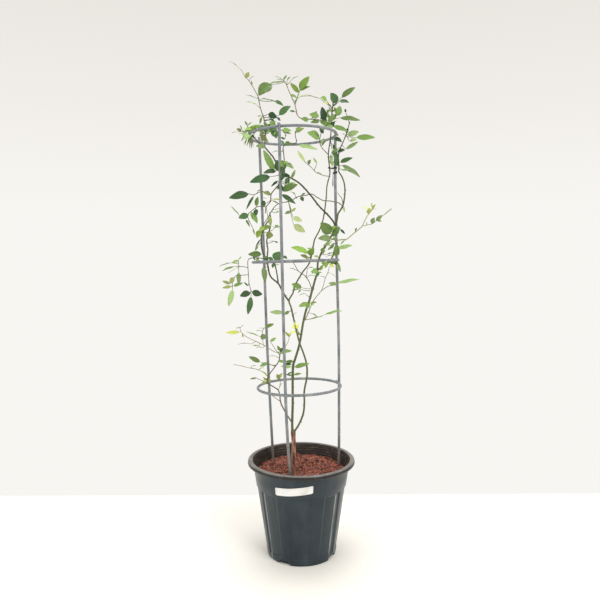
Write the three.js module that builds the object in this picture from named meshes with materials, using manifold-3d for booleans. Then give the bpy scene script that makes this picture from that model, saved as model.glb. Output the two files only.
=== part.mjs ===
// Climbing rose in a fluted nursery pot, tied up a frame of three rods and three hoops.
// Millimetres, +Z up, the pot's axis at the origin and its underside at z = 0; the viewer stands at -Y.
import * as THREE from "three";
import { mergeVertices } from "three/addons/utils/BufferGeometryUtils.js";
import Module from "manifold-3d";

const wasm = await Module();
wasm.setup();
const { Manifold, Mesh } = wasm;

// Pot
const POT_HEIGHT = 178.3;
const POT_BASE_RADIUS = 64.3;
const POT_SLOPE = 0.1427;
const POT_WALL = 2.2;
const POT_FLOOR = 2.4;
const POT_SIDES = 36;
const LIP_RADIUS = 100;
const LIP_HEIGHT = 8.5;
const LIP_WIDTH = 9;
const LIP_LOWER_CHAMFER = [0.8, 0.8];
const LIP_UPPER_CHAMFER = [1.4, 1.2];
const COLLAR_STEP = 1.2;
const COLLAR_BOTTOM = 131;
const FLUTE_COUNT = 8;
const FLUTE_TURN = -1.5;
const FLUTE_DEPTH = 1.3;
const FLUTE_BOTTOM = 13;
const FLUTE_RAMP = 1.2;
const PANEL_HALF = 16;
const PANEL_NARROWING = 2.5;
const NOTCH_COUNT = 4;
const NOTCH_TURN = -29;
const NOTCH_SIZE = [18, 12, 6];

// Soil
const SOIL_LEVEL = 159;
const SOIL_BUMP = 1.8;
const SOIL_DROP = 10;
const SOIL_SIDES = 20;
const SOIL_RINGS = [0.8, 0.55, 0.3];

// Blank label on the pot's collar
const LABEL_ANGLES = [-32, 13.5];
const LABEL_RANGE = [136, 150.2];
const LABEL_RISE = 7;
const LABEL_SAG = 1.5;
const LABEL_THICKNESS = 0.6;
const LABEL_STEPS = 12;

// Frame of rods and hoops, leaning to the left and to the back about the pot's axis at soil height
const LEAN_X = -0.0244;
const LEAN_Y = 0.0101;
const ROD_RADIUS = 2.6;
const ROD_SIDES = 7;
const HOOP_WIRE = 2.5;
const HOOP_SIDES = 5;
const HOOP_STEPS = 30;
const HOOPS = {
  hoop_lower: { height: 313.4, radius: 76.9 },
  hoop_middle: { height: 546.5, radius: 78.5 },
  hoop_upper: { height: 774.5, radius: 80 },
};
const RODS = {
  rod_left: [
    [-49, 38, 100], [-54.5, 44, 157], [-59, 57, 290], [-61, 59, 400], [-61.5, 59, 560], [-62.5, 58, 700],
    [-63.5, 58, 782],
  ],
  rod_front: [[-17, -66, 100], [-19, -74, 157], [-23.5, -79, 300], [-22.5, -81, 560], [-20.5, -83, 777]],
  rod_right: [
    [63, 18, 100], [71.5, 21, 157], [76, 35, 290], [78, 35, 400], [78, 35, 560], [79, 35, 700],
    [81, 35, 780],
  ],
};

// Tie round a cane and the right rod, a collar below it on that rod, and the tie's loose end
const BAND_THICKNESS = 1;
const BAND_STEPS = 14;
const BANDS = {
  tie_band: { centre: [61.3, 40, 721.3], reach: [8, 5.6], height: 2.4 },
  tie_collar: { centre: [66, 40.4, 712.5], reach: [3.3, 3.3], height: 5 },
};
const TIE_END_SIZE = [1.8, 0.9, 26];
const TIE_END_PLACE = [61.6, 36.9, 699];

// Gap left between pieces that touch
const GAP = 0.3;

// Trunk below the fork
const TRUNK_ROUTE = [
  [-12.5, -38, 128], [-13, -40, 157], [-13.5, -41, 190], [-13.5, -40, 215], [-14.5, -39, 240],
];
const TRUNK_RADIUS = [4.6, 3.7];
const TRUNK_SIDES = 8;

// Leaf blades: thickness at the midrib, tooth depth over width, fold and droop over size
const BLADE_THICKNESS = 1.1;
const TOOTH_DEPTH = 0.1;
const BLADE_FOLD = 0.25;
const STALK_RADIUS = 0.55;
const LONG_STALK = 11;
const LEAST_WIDTH = 2.4;
const PAIR_SHARES = [0, 0.3, 0.48];
const TUFT_SPREAD = 2.2;
const FIRST_SEED = 1000;
const SEED_STEP = 77;

// Looks
const NAVY_PLASTIC = { color: "#2f3a44", roughness: 0.45, metalness: 0 };
const SOIL_BROWN = { color: "#7d4a3f", roughness: 0.95, metalness: 0 };
const LABEL_PAPER = { color: "#e8e6df", roughness: 0.65, metalness: 0 };
const COATED_STEEL = { color: "#7f8a99", roughness: 0.4, metalness: 0.1 };
const BLACK_RUBBER = { color: "#202428", roughness: 0.6, metalness: 0 };
const BARK = { color: "#6b5140", roughness: 0.9, metalness: 0 };
const LEAF_GREEN = { color: "#4f6b3a", roughness: 0.5, metalness: 0 };

// Directions that a blade's upper face looks in
const UP = [0.1, -0.25, 1];
const HALF_UP = [0, -0.75, 0.65];
const FRONT = [0.05, -1, 0.2];

// Each leafy shoot is a list of stems that grow from one another.
// A stem has its route from root to tip, its radius at both ends, leaves, and tufts of young leaves.
// A leaf: place along the stem, step to the blade's foot, step on to its tip, pairs of side leaflets,
// width over length, and the way it faces. A tuft: place along the stem, count and reach.
const PLANT = {
  cane_main: [
    {
      route: [
        [-16, -40, 237], [-16, -40, 259], [-15, -38, 292], [-15, -34, 327], [-14, -30, 358],
        [-9, -28, 374], [-2, -24, 399], [5, -19, 438], [10, -15, 458], [16, -11, 475],
        [26, -3, 510], [31, 0, 527], [32, 3, 543], [37, 6, 558], [45, 9, 572], [54, 11, 587],
        [61, 12, 600], [65, 12, 611],
      ],
      radius: [2.3, 1.5],
      leaves: [
        [0.330, [-3, -6, 2], [-13, -4, 0], 0, 0.46, FRONT],
        [0.306, [3, -7, 0], [26, -6, 8], 0, 0.3, FRONT],
        [0.302, [-4, -6, 3], [-18, -2, 1], 0, 0.36, FRONT],
        [0.267, [2, -5, 2], [14, -6, 3], 0, 0.3, HALF_UP],
        [0.263, [-3, -4, 2], [-10, -4, 2], 0, 0.4, HALF_UP],
        [0.612, [-3, -6, -1], [-15, -6, -5], 0, 0.5, FRONT],
        [0.608, [5, 6, -2], [10, -4, 4], 0, 0.45, HALF_UP],
        [0.669, [-16, -4, 4], [-21, 4, -3], 1, 0.3, HALF_UP],
        [0.679, [-20, -16, 3], [-18, -4, 7], 0, 0.5, FRONT],
        [0.637, [-10, 6, 7], [-10, 8, -4], 0, 0.24, HALF_UP],
        [0.764, [2, -6, 0], [-14, -4, 0], 0, 0.6, FRONT],
        [0.760, [3, 6, 0], [7, 6, -2], 0, 0.4, HALF_UP],
        [0.961, [-4, -10, 0], [-18, -6, 20], 0, 0.7, FRONT],
        [0.973, [-1, -6, -6], [12, -8, 13], 0, 0.7, FRONT],
        [0.941, [1, -8, -2], [-24, -6, 0], 0, 0.5, FRONT],
        [0.930, [5, -4, -5], [-17, -4, -8], 0, 0.34, FRONT],
        [0.902, [14, -4, -2], [-12, -4, -8], 0, 0.36, FRONT],
        [0.885, [-1, -5, -1], [-7, -6, -5], 0, 0.5, FRONT],
        [0.858, [1, -6, -1], [5, -10, 5], 0, 0.5, FRONT],
      ],
    },
    {
      route: [
        [31, 1, 529], [38, 2, 536], [45, 3, 541], [54, 5, 545], [59, 8, 556], [65, 9, 569],
        [68, 9, 581],
      ],
      radius: [1.1, 0.8],
      leaves: [
        [0.41, [-2, -5, -2], [-11, -6, -4], 0, 0.5, FRONT],
        [0.27, [-2, -5, 1], [-5, -8, 6], 0, 0.6, FRONT],
        [0.31, [1, -4, -2], [-3, -8, -6], 0, 0.5, FRONT],
        [0.45, [-1, -4, -3], [13, -8, 2], 0, 0.6, FRONT],
        [0.50, [11, -8, -5], [6, -6, -18], 0, 0.34, FRONT],
        [0.60, [0, 6, 2], [-12, 8, -3], 0, 0.35, UP],
        [0.86, [2, -6, 7], [-3, -6, -25], 0, 0.4, FRONT],
        [0.85, [4, -10, -2], [25, -8, 6], 0, 0.3, FRONT],
      ],
    },
    {
      route: [
        [21, -7, 494], [18, -9, 503], [14, -11, 512], [8, -13, 520], [1, -10, 525], [-5, -8, 530],
        [-9, -6, 537], [-13, -4, 544],
      ],
      radius: [0.8, 0.6],
      leaves: [
        [0.73, [-3, -5, 0], [-12, -8, 5], 0, 0.4, UP],
        [0.41, [2, -10, 16], [11, -10, 2], 0, 0.3, UP],
        [0.40, [4, -12, 4], [12, -12, 0], 0, 0.3, UP],
      ],
    },
  ],
  cane_cross: [
    {
      route: [
        [-14, -42, 234], [-11, -42, 242], [-3, -40, 255], [4, -39, 273], [6, -38, 292],
        [6, -38, 314], [11, -38, 341], [10, -38, 363], [5, -38, 381], [-2, -37, 400],
        [-6, -36, 415], [-13, -31, 445], [-17, -28, 463], [-21, -25, 476], [-14, -22, 489],
        [-9, -19, 505], [4, -14, 527], [16, -10, 543], [23, -8, 572], [26, -6, 586], [34, -4, 601],
        [41, 0, 620], [45, 6, 641], [48, 14, 664], [50, 26, 686], [56, 37, 710], [55, 39, 725],
        [53, 34, 746], [56, 23, 770], [57, 15, 784], [57, 8, 799], [58, 3, 814], [60, 0, 829],
      ],
      radius: [1.8, 0.9],
      leaves: [
        [0.351, [3, -6, 4], [5, -4, 3], 0, 0.4, UP],
        [0.539, [-7, -8, 7], [-29, -10, 8], 0, 0.36, FRONT],
        [0.544, [-5, -7, -3], [9, -8, 14], 0, 0.6, FRONT],
        [0.996, [8, -6, 4], [-13, -6, 15], 0, 0.72, FRONT],
        [0.996, [15, -8, 12], [24, -6, 16], 0, 0.36, FRONT],
        [0.993, [11, -14, 6], [16, -8, -4], 0, 0.5, FRONT],
        [0.988, [-11, -8, 12], [-11, -6, 4], 0, 0.75, FRONT],
        [0.990, [-21, 6, 17], [-36, 8, 7], 0, 0.07, HALF_UP],
        [0.956, [-13, -22, -6], [-5, -2, 24], 0, 0.48, FRONT],
        [0.966, [-10, -10, 2], [7, -16, 3], 0, 0.5, FRONT],
        [0.974, [8, -16, -8], [6, -2, 17], 0, 0.68, FRONT],
        [0.962, [14, -18, -4], [36, -4, -5], 0, 0.27, FRONT],
        [0.944, [3, -14, -6], [26, -8, -11], 0, 0.3, FRONT],
        [0.940, [-6, -20, 2], [11, -6, 12], 0, 0.55, FRONT],
        [0.937, [-4, -8, 2], [-17, -4, 5], 0, 0.45, FRONT],
        [0.905, [3, -8, -25], [3, -8, -9], 0, 0.5, FRONT],
        [0.841, [6, -6, -2], [0, -8, -11], 0, 0.5, FRONT],
        [0.908, [6, -12, -4], [13, -14, -10], 0, 0.4, HALF_UP],
        [0.535, [-6, -6, -1], [-13, -6, 5], 0, 0.42, FRONT],
        [0.365, [-15, -6, -3], [-24, -2, 1], 0, 0.32, FRONT],
      ],
      tufts: [[0.31, 4, 9], [0.98, 3, 11], [0.95, 3, 13]],
    },
    {
      route: [
        [56, 35, 705], [46, 27, 705], [36, 18, 707], [29, 10, 709], [20, 2, 717], [8, -6, 726],
      ],
      radius: [0.7, 0.5],
      leaves: [
        [0.97, [-1, 0, 1], [-13, -4, 19], 0, 0.26, FRONT],
        [0.83, [-2, -3, 2], [5, -5, 7], 0, 0.7, FRONT],
        [0.62, [5, -6, 12], [-7, -6, 9], 0, 0.3, FRONT],
        [0.39, [5, -4, -3], [-12, -12, 4], 0, 0.3, UP],
      ],
    },
    {
      route: [
        [53, 34, 745], [46, 26, 750], [39, 18, 757], [36, 10, 765], [38, 6, 777], [43, 2, 785],
      ],
      radius: [0.8, 0.6],
      leaves: [
        [0.65, [-1, -6, 1], [-22, -6, 10], 0, 0.72, FRONT],
        [0.93, [-1, -4, -3], [-5, -8, 6], 0, 0.6, FRONT],
        [0.97, [1, -4, -2], [4, -8, 5], 0, 0.6, HALF_UP],
        [0.47, [2, -5, -2], [6, -8, 5], 0, 0.5, FRONT],
      ],
    },
  ],
  cane_right: [
    {
      route: [
        [66, 12, 613], [68, 11, 624], [70, 11, 634], [76, 11, 643], [80, 13, 653], [83, 19, 674],
        [82, 28, 692], [78, 35, 705], [73, 39, 714], [73, 39, 723], [72, 36, 739], [73, 30, 751],
        [77, 22, 760], [82, 10, 771], [86, 4, 782], [90, 0, 797],
      ],
      radius: [1.7, 0.8],
      leaves: [
        [0.710, [-5, -6, -1], [15, -6, 2], 0, 0.6, FRONT],
        [0.618, [3, -6, -1], [22, -6, 7], 0, 0.36, FRONT],
        [0.583, [6, -8, 1], [33, -6, -23], 0, 0.24, FRONT],
        [0.560, [20, -12, -3], [-15, -6, -3], 0, 0.34, HALF_UP],
        [0.784, [7, -6, -9], [22, -8, 12], 0, 0.26, FRONT],
        [0.877, [19, -12, -5], [32, -10, -2], 0, 0.3, FRONT],
        [0.918, [-2, -6, -4], [3, -8, 7], 0, 0.6, FRONT],
        [0.896, [-1, -5, -5], [-7, -6, 3], 0, 0.6, HALF_UP],
        [0.905, [2, -6, -6], [19, -6, 6], 0, 0.5, FRONT],
        [0.990, [-7, -6, 18], [-2, -4, 5], 0, 0.6, FRONT],
        [0.013, [7, -10, -11], [8, -6, -9], 0, 0.34, FRONT],
        [0.165, [4, -6, 1], [0, -4, -11], 0, 0.3, FRONT],
      ],
    },
    {
      route: [
        [79, 11, 649], [76, 6, 661], [72, 4, 666], [68, 3, 671],
      ],
      radius: [0.7, 0.5],
      leaves: [
      ],
    },
  ],
  cane_diagonal: [
    {
      route: [
        [64, 10, 612], [60, 7, 620], [49, 0, 632], [34, -9, 646], [18, -20, 665], [0, -31, 683],
        [-16, -42, 692], [-25, -50, 696], [-35, -56, 705], [-43, -52, 720], [-48, -47, 729],
        [-56, -40, 739], [-62, -32, 747], [-69, -24, 754], [-79, -14, 764], [-86, -5, 774],
      ],
      radius: [1.7, 1.1],
      leaves: [
        [0.563, [-23, -14, -8], [-34, -8, -10], 0, 0.38, FRONT],
        [0.624, [-4, -6, -9], [-21, -8, -4], 0, 0.42, FRONT],
        [0.628, [-6, -6, -10], [-19, 2, 37], 0, 0.28, FRONT],
        [0.613, [-2, -6, -8], [-1, 2, 21], 0, 0.5, FRONT],
        [0.562, [0, -8, 17], [17, -6, -11], 0, 0.44, FRONT],
        [0.554, [0, -20, 4], [-4, -3, 16], 0, 0.6, FRONT],
        [0.541, [-7, -18, -2], [14, -4, -2], 0, 0.5, FRONT],
        [0.513, [5, -4, -3], [6, -4, 14], 0, 0.34, FRONT],
        [0.531, [-1, -6, -5], [4, -6, -10], 0, 0.75, FRONT],
        [0.820, [1, -6, -1], [-16, -6, 1], 0, 0.6, FRONT],
        [0.964, [-8, -4, -3], [3, -2, -18], 0, 0.12, FRONT],
        [0.977, [-10, 2, -2], [-9, 6, -10], 0, 0.16, UP],
        [0.987, [-7, -5, -5], [-3, -8, -16], 0, 0.14, FRONT],
        [0.992, [-11, 6, -3], [-12, 10, -4], 0, 0.2, UP],
      ],
      tufts: [[0.98, 3, 9]],
    },
    {
      route: [
        [-30, -53, 699], [-31, -52, 691], [-36, -48, 681], [-41, -44, 676], [-50, -36, 667],
        [-52, -32, 662], [-53, -26, 653], [-61, -20, 644], [-63, -16, 633],
      ],
      radius: [1.1, 0.7],
      leaves: [
        [0.24, [-3, -4, 7], [-11, -4, -12], 0, 0.24, FRONT],
        [0.19, [20, -4, -9], [-18, -8, -4], 0, 0.3, FRONT],
        [0.16, [1, -8, -18], [28, -4, 10], 0, 0.42, FRONT],
        [0.23, [4, -8, -19], [24, -6, -17], 0, 0.27, FRONT],
        [0.57, [0, -5, 2], [-13, -6, 2], 0, 0.62, FRONT],
        [0.68, [-8, -6, -6], [-9, -6, -1], 0, 0.9, FRONT],
        [0.87, [4, -4, -22], [3, -4, -9], 0, 0.6, FRONT],
      ],
      tufts: [[0.28, 3, 11]],
    },
    {
      route: [
        [-51, -34, 665], [-68, -30, 670], [-82, -26, 665], [-93, -24, 667],
      ],
      radius: [0.7, 0.5],
      leaves: [
        [0.95, [-1, -2, 0], [-34, -6, -8], 0, 0.42, FRONT],
        [0.74, [-1, -3, -3], [-13, -4, -24], 0, 0.17, FRONT],
        [0.62, [1, -4, 3], [8, -6, 3], 0, 0.3, UP],
        [0.40, [-1, 6, -11], [9, 4, 0], 0, 0.25, UP],
      ],
    },
    {
      route: [
        [-61, -21, 644], [-76, -16, 645], [-87, -12, 638], [-95, -9, 631], [-94, -7, 623],
        [-90, -5, 614], [-87, -4, 607],
      ],
      radius: [0.7, 0.5],
      leaves: [
        [0.25, [-3, -3, 1], [4, -4, 16], 0, 0.48, FRONT],
        [0.34, [2, -3, -1], [1, -4, -12], 0, 0.7, FRONT],
        [0.47, [-1, -3, -2], [12, -4, -20], 0, 0.45, FRONT],
        [0.59, [1, -3, -2], [-18, -4, -5], 0, 0.62, FRONT],
        [0.60, [-17, 6, -1], [-17, 8, 18], 0, 0.14, UP],
        [0.80, [-8, -3, 3], [9, -6, -13], 0, 0.24, FRONT],
        [0.97, [2, -2, -3], [3, -4, -11], 0, 0.24, FRONT],
      ],
    },
    {
      route: [
        [-28, -52, 697], [-27, -58, 715], [-28, -59, 730], [-29, -57, 742], [-22, -55, 749],
        [-7, -50, 751], [-8, -49, 763], [-8, -48, 771],
      ],
      radius: [0.9, 0.6],
      leaves: [
        [0.98, [2, -3, 0], [7, -4, 7], 0, 0.85, FRONT],
        [0.97, [4, -4, 1], [11, -4, 5], 0, 0.6, FRONT],
        [0.79, [5, -5, -7], [32, -6, -7], 0, 0.24, FRONT],
        [0.61, [-5, -4, 0], [12, -4, -3], 0, 0.6, FRONT],
        [0.55, [-3, 5, 3], [-4, 6, 8], 0, 0.5, HALF_UP],
        [0.44, [-6, 8, -1], [-14, 8, 1], 0, 0.25, UP],
      ],
    },
  ],
  twig_cross: [
    {
      route: [
        [79, 11, 647], [71, 9, 653], [56, 4, 656], [46, -2, 656], [40, -4, 657], [30, -8, 662],
        [21, -13, 667], [10, -21, 664], [0, -28, 662], [-7, -33, 659], [-18, -42, 652],
        [-33, -52, 648], [-41, -48, 645], [-48, -38, 639], [-59, -16, 624], [-67, 4, 615],
        [-72, 18, 608],
      ],
      radius: [0.9, 0.7],
      leaves: [
        [0.534, [9, -6, -41], [20, -2, -13], 0, 0.5, FRONT],
        [0.408, [1, -4, -2], [4, -4, -8], 0, 0.7, FRONT],
        [0.403, [1, -4, 1], [7, -4, 3], 0, 0.45, HALF_UP],
        [0.702, [4, -6, -3], [7, -8, 2], 0, 0.4, UP],
        [0.736, [8, 8, -2], [6, 10, 4], 0, 0.4, UP],
        [0.452, [-2, 6, 7], [-8, 6, 5], 0, 0.4, UP],
        [0.979, [6, -8, 0], [-11, -4, -8], 0, 0.6, FRONT],
        [0.534, [8, -6, -28], [16, -2, -7], 0, 0.5, FRONT],
        [0.533, [6, -5, -18], [7, -2, 6], 0, 0.5, FRONT],
        [0.535, [5, -4, -18], [-11, -2, -4], 0, 0.5, FRONT],
      ],
    },
  ],
  cane_left: [
    {
      route: [
        [-21, -25, 475], [-28, -19, 484], [-35, -11, 496], [-41, -4, 506], [-55, 6, 518],
        [-60, 14, 534], [-62, 20, 553], [-61, 24, 568], [-63, 28, 586], [-58, 30, 605],
        [-55, 29, 620], [-57, 26, 637],
      ],
      radius: [1.8, 1.0],
      leaves: [
        [0.445, [-8, -10, 1], [3, -8, -29], 0, 0.34, FRONT],
        [0.820, [-6, -8, -8], [14, -6, -1], 0, 0.9, FRONT],
        [0.845, [2, -9, 5], [-19, -6, -10], 0, 0.45, FRONT],
        [0.794, [-14, -12, 5], [-7, -6, -14], 0, 0.7, FRONT],
        [0.955, [-1, -4, 2], [2, -4, -19], 0, 0.4, FRONT],
        [0.808, [8, 16, 8], [10, 20, 5], 1, 0.55, UP],
        [0.692, [8, 24, 6], [9, 22, -5], 1, 0.5, UP],
      ],
    },
    {
      route: [
        [-41, -4, 506], [-43, 2, 521], [-47, 8, 540], [-50, 10, 548],
      ],
      radius: [1.4, 0.9],
      leaves: [
        [0.95, [2, -8, 3], [10, -6, 15], 0, 0.9, FRONT],
        [0.95, [-2, 4, 1], [-10, 4, 7], 0, 0.62, FRONT],
        [0.82, [-2, -5, 3], [-2, -6, -9], 0, 0.6, FRONT],
        [0.76, [1, 5, 2], [7, 6, -1], 0, 0.4, UP],
        [0.93, [17, -18, 11], [8, -6, -5], 0, 0.5, FRONT],
      ],
    },
    {
      route: [
        [-61, 18, 546], [-67, 27, 555], [-72, 35, 566], [-74, 39, 579], [-74, 40, 594],
        [-69, 36, 607], [-63, 33, 619], [-57, 30, 626],
      ],
      radius: [1.5, 1.2],
      leaves: [
        [0.25, [-3, -10, -3], [-24, -6, 0], 0, 0.46, FRONT],
        [0.49, [-6, -12, -8], [-4, -8, -9], 0, 0.4, FRONT],
      ],
    },
    {
      route: [
        [-62, 19, 549], [-72, 15, 552], [-86, 10, 553], [-96, 6, 550], [-97, 4, 538],
        [-96, 4, 521], [-95, 2, 507], [-91, 1, 491],
      ],
      radius: [0.8, 0.6],
      leaves: [
        [0.98, [0, -1, -11], [-6, -2, -33], 0, 0.33, FRONT],
        [0.83, [-2, -3, -7], [-7, -4, 9], 0, 0.26, FRONT],
        [0.27, [2, -6, -2], [12, -14, -7], 0, 0.4, UP],
        [0.98, [-1, -1, -5], [-19, -2, -5], 0, 0.64, FRONT],
        [0.98, [2, -1, -3], [19, -2, -4], 0, 0.62, FRONT],
      ],
    },
    {
      route: [
        [-96, 4, 522], [-110, 2, 521], [-119, 0, 520], [-124, -1, 511], [-126, -2, 500],
      ],
      radius: [0.6, 0.5],
      leaves: [
        [0.95, [1, -1, -9], [-8, -2, -29], 0, 0.34, FRONT],
        [0.73, [1, -2, 7], [-7, -3, -12], 0, 0.62, FRONT],
        [0.77, [-7, -2, -6], [-12, -3, 7], 0, 0.42, FRONT],
        [0.95, [-1, -1, -2], [-17, -2, -2], 0, 0.34, FRONT],
        [0.95, [3, -1, -1], [17, -2, 6], 0, 0.36, FRONT],
      ],
    },
    {
      route: [
        [-97, 4, 535], [-107, 10, 537], [-115, 13, 538], [-115, 13, 549],
      ],
      radius: [0.6, 0.5],
      leaves: [
        [0.64, [0, -3, -11], [1, -2, -24], 0, 0.36, FRONT],
        [0.81, [-13, -6, 1], [-21, -8, -6], 0, 0.16, HALF_UP],
        [0.65, [-9, 8, -1], [-24, 8, -8], 0, 0.18, HALF_UP],
        [0.58, [-5, -9, -4], [-14, -10, -8], 0, 0.2, UP],
        [0.94, [0, -2, 2], [-12, -4, -5], 0, 0.4, FRONT],
        [0.94, [0, 2, 3], [6, 4, 6], 0, 0.35, UP],
      ],
    },
  ],
  shoot_top_left: [
    {
      route: [
        [-62, -32, 748], [-62, -30, 760], [-61, -28, 772], [-61, -26, 783], [-64, -22, 800],
        [-68, -19, 811], [-72, -16, 827], [-74, -14, 838], [-81, -11, 852], [-91, -8, 869],
        [-98, -6, 875],
      ],
      radius: [1.2, 0.6],
      leaves: [
        [0.98, [0, -1, 1], [6, -4, 8], 0, 0.72, FRONT],
        [0.98, [-7, 3, 13], [-23, 6, 20], 0, 0.1, UP],
        [0.93, [2, -3, 1], [7, -4, 5], 0, 0.3, UP],
        [0.84, [0, -3, 2], [-1, -4, 6], 0, 0.3, FRONT],
        [0.66, [-4, -3, -1], [-17, -8, 4], 0, 0.18, UP],
        [0.52, [-7, 5, 7], [-19, 8, 8], 0, 0.18, UP],
        [0.64, [2, -4, 0], [29, -14, -9], 0, 0.12, HALF_UP],
        [0.63, [30, -20, -6], [14, -6, -10], 0, 0.36, FRONT],
        [0.41, [10, -8, 2], [15, -6, -8], 0, 0.62, FRONT],
        [0.39, [28, -16, 0], [20, -6, 14], 0, 0.5, FRONT],
        [0.35, [9, -8, 1], [10, -6, -7], 0, 0.4, FRONT],
        [0.34, [23, -6, 5], [6, -6, -8], 0, 0.35, HALF_UP],
        [0.42, [-2, -4, -4], [-3, -4, -13], 0, 0.3, FRONT],
        [0.12, [-1, -6, 4], [-4, -6, -13], 0, 0.75, FRONT],
        [0.42, [-2, 6, 0], [-8, 8, 1], 0, 0.4, UP],
      ],
      tufts: [[0.23, 4, 13], [0.16, 3, 11]],
    },
    {
      route: [
        [-61, -27, 776], [-71, -22, 780], [-82, -17, 782], [-93, -12, 781], [-103, -8, 779],
      ],
      radius: [0.8, 0.5],
      leaves: [
        [0.79, [0, -2, 10], [-4, -4, 5], 0, 0.45, FRONT],
        [0.78, [0, 2, 10], [8, 4, 5], 0, 0.4, UP],
        [0.96, [-3, -2, 3], [-3, -4, 7], 0, 0.3, FRONT],
        [0.96, [-2, -2, -2], [-19, -4, -2], 0, 0.14, UP],
        [0.96, [-4, -2, 0], [-8, -4, 3], 0, 0.7, FRONT],
        [0.66, [0, -4, -3], [10, -6, 7], 0, 0.7, FRONT],
        [0.60, [1, -6, -1], [-11, -6, -1], 0, 0.6, FRONT],
        [0.42, [1, -5, -4], [-11, -6, -5], 0, 0.55, FRONT],
        [0.29, [-2, -4, 1], [14, -4, 2], 0, 0.55, FRONT],
        [0.85, [1, -16, -8], [3, -22, -15], 0, 0.6, FRONT],
      ],
      tufts: [[0.90, 3, 9], [0.42, 3, 11]],
    },
    {
      route: [
        [-61, -27, 778], [-53, -31, 780], [-42, -37, 778], [-30, -42, 773], [-24, -44, 764],
      ],
      radius: [0.8, 0.5],
      leaves: [
        [0.44, [0, -6, 0], [-9, -6, 10], 0, 0.7, FRONT],
        [0.33, [1, -5, -1], [-14, -8, 3], 0, 0.55, FRONT],
        [0.40, [-3, -6, -5], [7, -6, -14], 0, 0.75, FRONT],
        [0.29, [2, -4, -5], [-11, -6, -5], 0, 0.6, FRONT],
        [0.71, [2, -4, 1], [15, -6, -4], 0, 0.46, FRONT],
        [0.79, [1, -4, -3], [13, -4, -3], 0, 0.36, FRONT],
        [0.95, [-1, -3, -10], [-8, -4, 4], 0, 0.4, FRONT],
      ],
      tufts: [[0.20, 3, 11]],
    },
  ],
  shoot_top_middle: [
    {
      route: [
        [57, 10, 796], [40, 2, 800], [22, -6, 801], [6, -8, 801], [-3, -10, 805], [-6, -11, 813],
        [-9, -12, 826], [-14, -13, 837], [-20, -14, 850], [-24, -15, 860], [-28, -16, 866],
      ],
      radius: [1.0, 0.6],
      leaves: [
        [0.41, [8, -8, -4], [-13, -8, 1], 0, 0.55, FRONT],
        [0.28, [10, -10, 3], [-17, -6, 2], 0, 0.55, FRONT],
        [0.31, [2, -4, 1], [8, -4, 11], 0, 0.5, FRONT],
        [0.23, [6, -6, -5], [-17, -6, -2], 0, 0.4, FRONT],
        [0.65, [7, -6, 20], [-15, -6, 15], 0, 0.38, FRONT],
        [0.66, [9, -10, 21], [17, -4, 23], 0, 0.5, FRONT],
        [0.67, [9, -10, 20], [18, -8, 5], 0, 0.34, FRONT],
        [0.70, [10, 6, 9], [16, 8, 7], 0, 0.1, HALF_UP],
        [0.78, [-1, -4, 2], [11, -6, -8], 0, 0.34, FRONT],
        [0.55, [-4, -4, 1], [-9, -4, 0], 0, 0.36, FRONT],
        [0.98, [-23, -6, -6], [-23, -6, -20], 0, 0.78, FRONT],
        [0.98, [-2, -3, 0], [-29, -4, -7], 0, 0.13, HALF_UP],
        [0.93, [1, -4, 9], [6, -6, 3], 0, 0.35, UP],
        [0.93, [8, -5, 7], [12, -6, 5], 0, 0.26, HALF_UP],
        [0.98, [-3, -2, 4], [7, -4, 6], 0, 0.35, FRONT],
        [0.98, [-5, 3, 6], [-12, 4, 6], 0, 0.24, HALF_UP],
        [0.98, [-4, -5, 2], [-10, -8, -1], 0, 0.3, UP],
      ],
    },
  ],
  shoot_right: [
    {
      route: [
        [55, 11, 588], [66, 10, 585], [77, 9, 586], [86, 7, 587], [98, 4, 597], [109, 1, 606],
        [113, 0, 610], [118, -3, 621], [123, -6, 630], [132, -9, 641],
      ],
      radius: [1.1, 0.6],
      leaves: [
        [0.92, [-6, -3, -3], [4, -5, 10], 0, 0.62, FRONT],
        [0.94, [-2, -3, 4], [-16, -4, 2], 0, 0.2, HALF_UP],
        [0.98, [1, -2, 1], [6, -4, -1], 0, 0.35, UP],
        [0.98, [-1, -2, 4], [-2, -3, 8], 0, 0.4, FRONT],
        [0.98, [2, 2, 4], [5, 3, 5], 0, 0.4, UP],
        [0.49, [-1, -2, 2], [3, -4, 6], 0, 0.4, FRONT],
        [0.26, [-2, -3, -3], [-6, -6, -7], 0, 0.3, FRONT],
      ],
    },
    {
      route: [
        [113, 0, 610], [121, 2, 612], [131, 4, 614], [140, 6, 620], [154, 9, 631], [168, 12, 641],
      ],
      radius: [0.7, 0.5],
      leaves: [
        [0.29, [-1, -3, 1], [5, -4, 10], 0, 0.72, FRONT],
        [0.47, [-2, -3, -1], [11, -5, 10], 0, 0.5, FRONT],
        [0.49, [0, -3, -1], [7, -3, -2], 0, 0.55, FRONT],
        [0.14, [0, -3, 2], [-2, -3, 3], 0, 0.5, FRONT],
        [0.73, [2, -2, 2], [12, -3, 10], 0, 0.1, UP],
      ],
    },
  ],
  shoot_low_right: [
    {
      route: [
        [5, -20, 436], [11, -21, 447], [18, -20, 464], [22, -18, 473], [28, -14, 481],
        [38, -8, 492], [50, -2, 500], [62, 3, 503],
      ],
      radius: [1.0, 0.6],
      leaves: [
        [0.98, [9, -2, 4], [38, -6, 7], 0, 0.18, FRONT],
        [0.92, [12, -6, 3], [-16, -4, 2], 0, 0.42, FRONT],
        [0.05, [36, -8, 10], [31, -4, 8], 0, 0.16, HALF_UP],
        [0.22, [1, 6, -3], [16, 12, -8], 0, 0.3, UP],
        [0.06, [11, -4, 2], [20, -4, 4], 0, 0.14, HALF_UP],
      ],
    },
    {
      route: [
        [38, -8, 492], [42, -5, 503], [45, -3, 514], [50, -3, 525], [53, -3, 536],
      ],
      radius: [0.6, 0.5],
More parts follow.
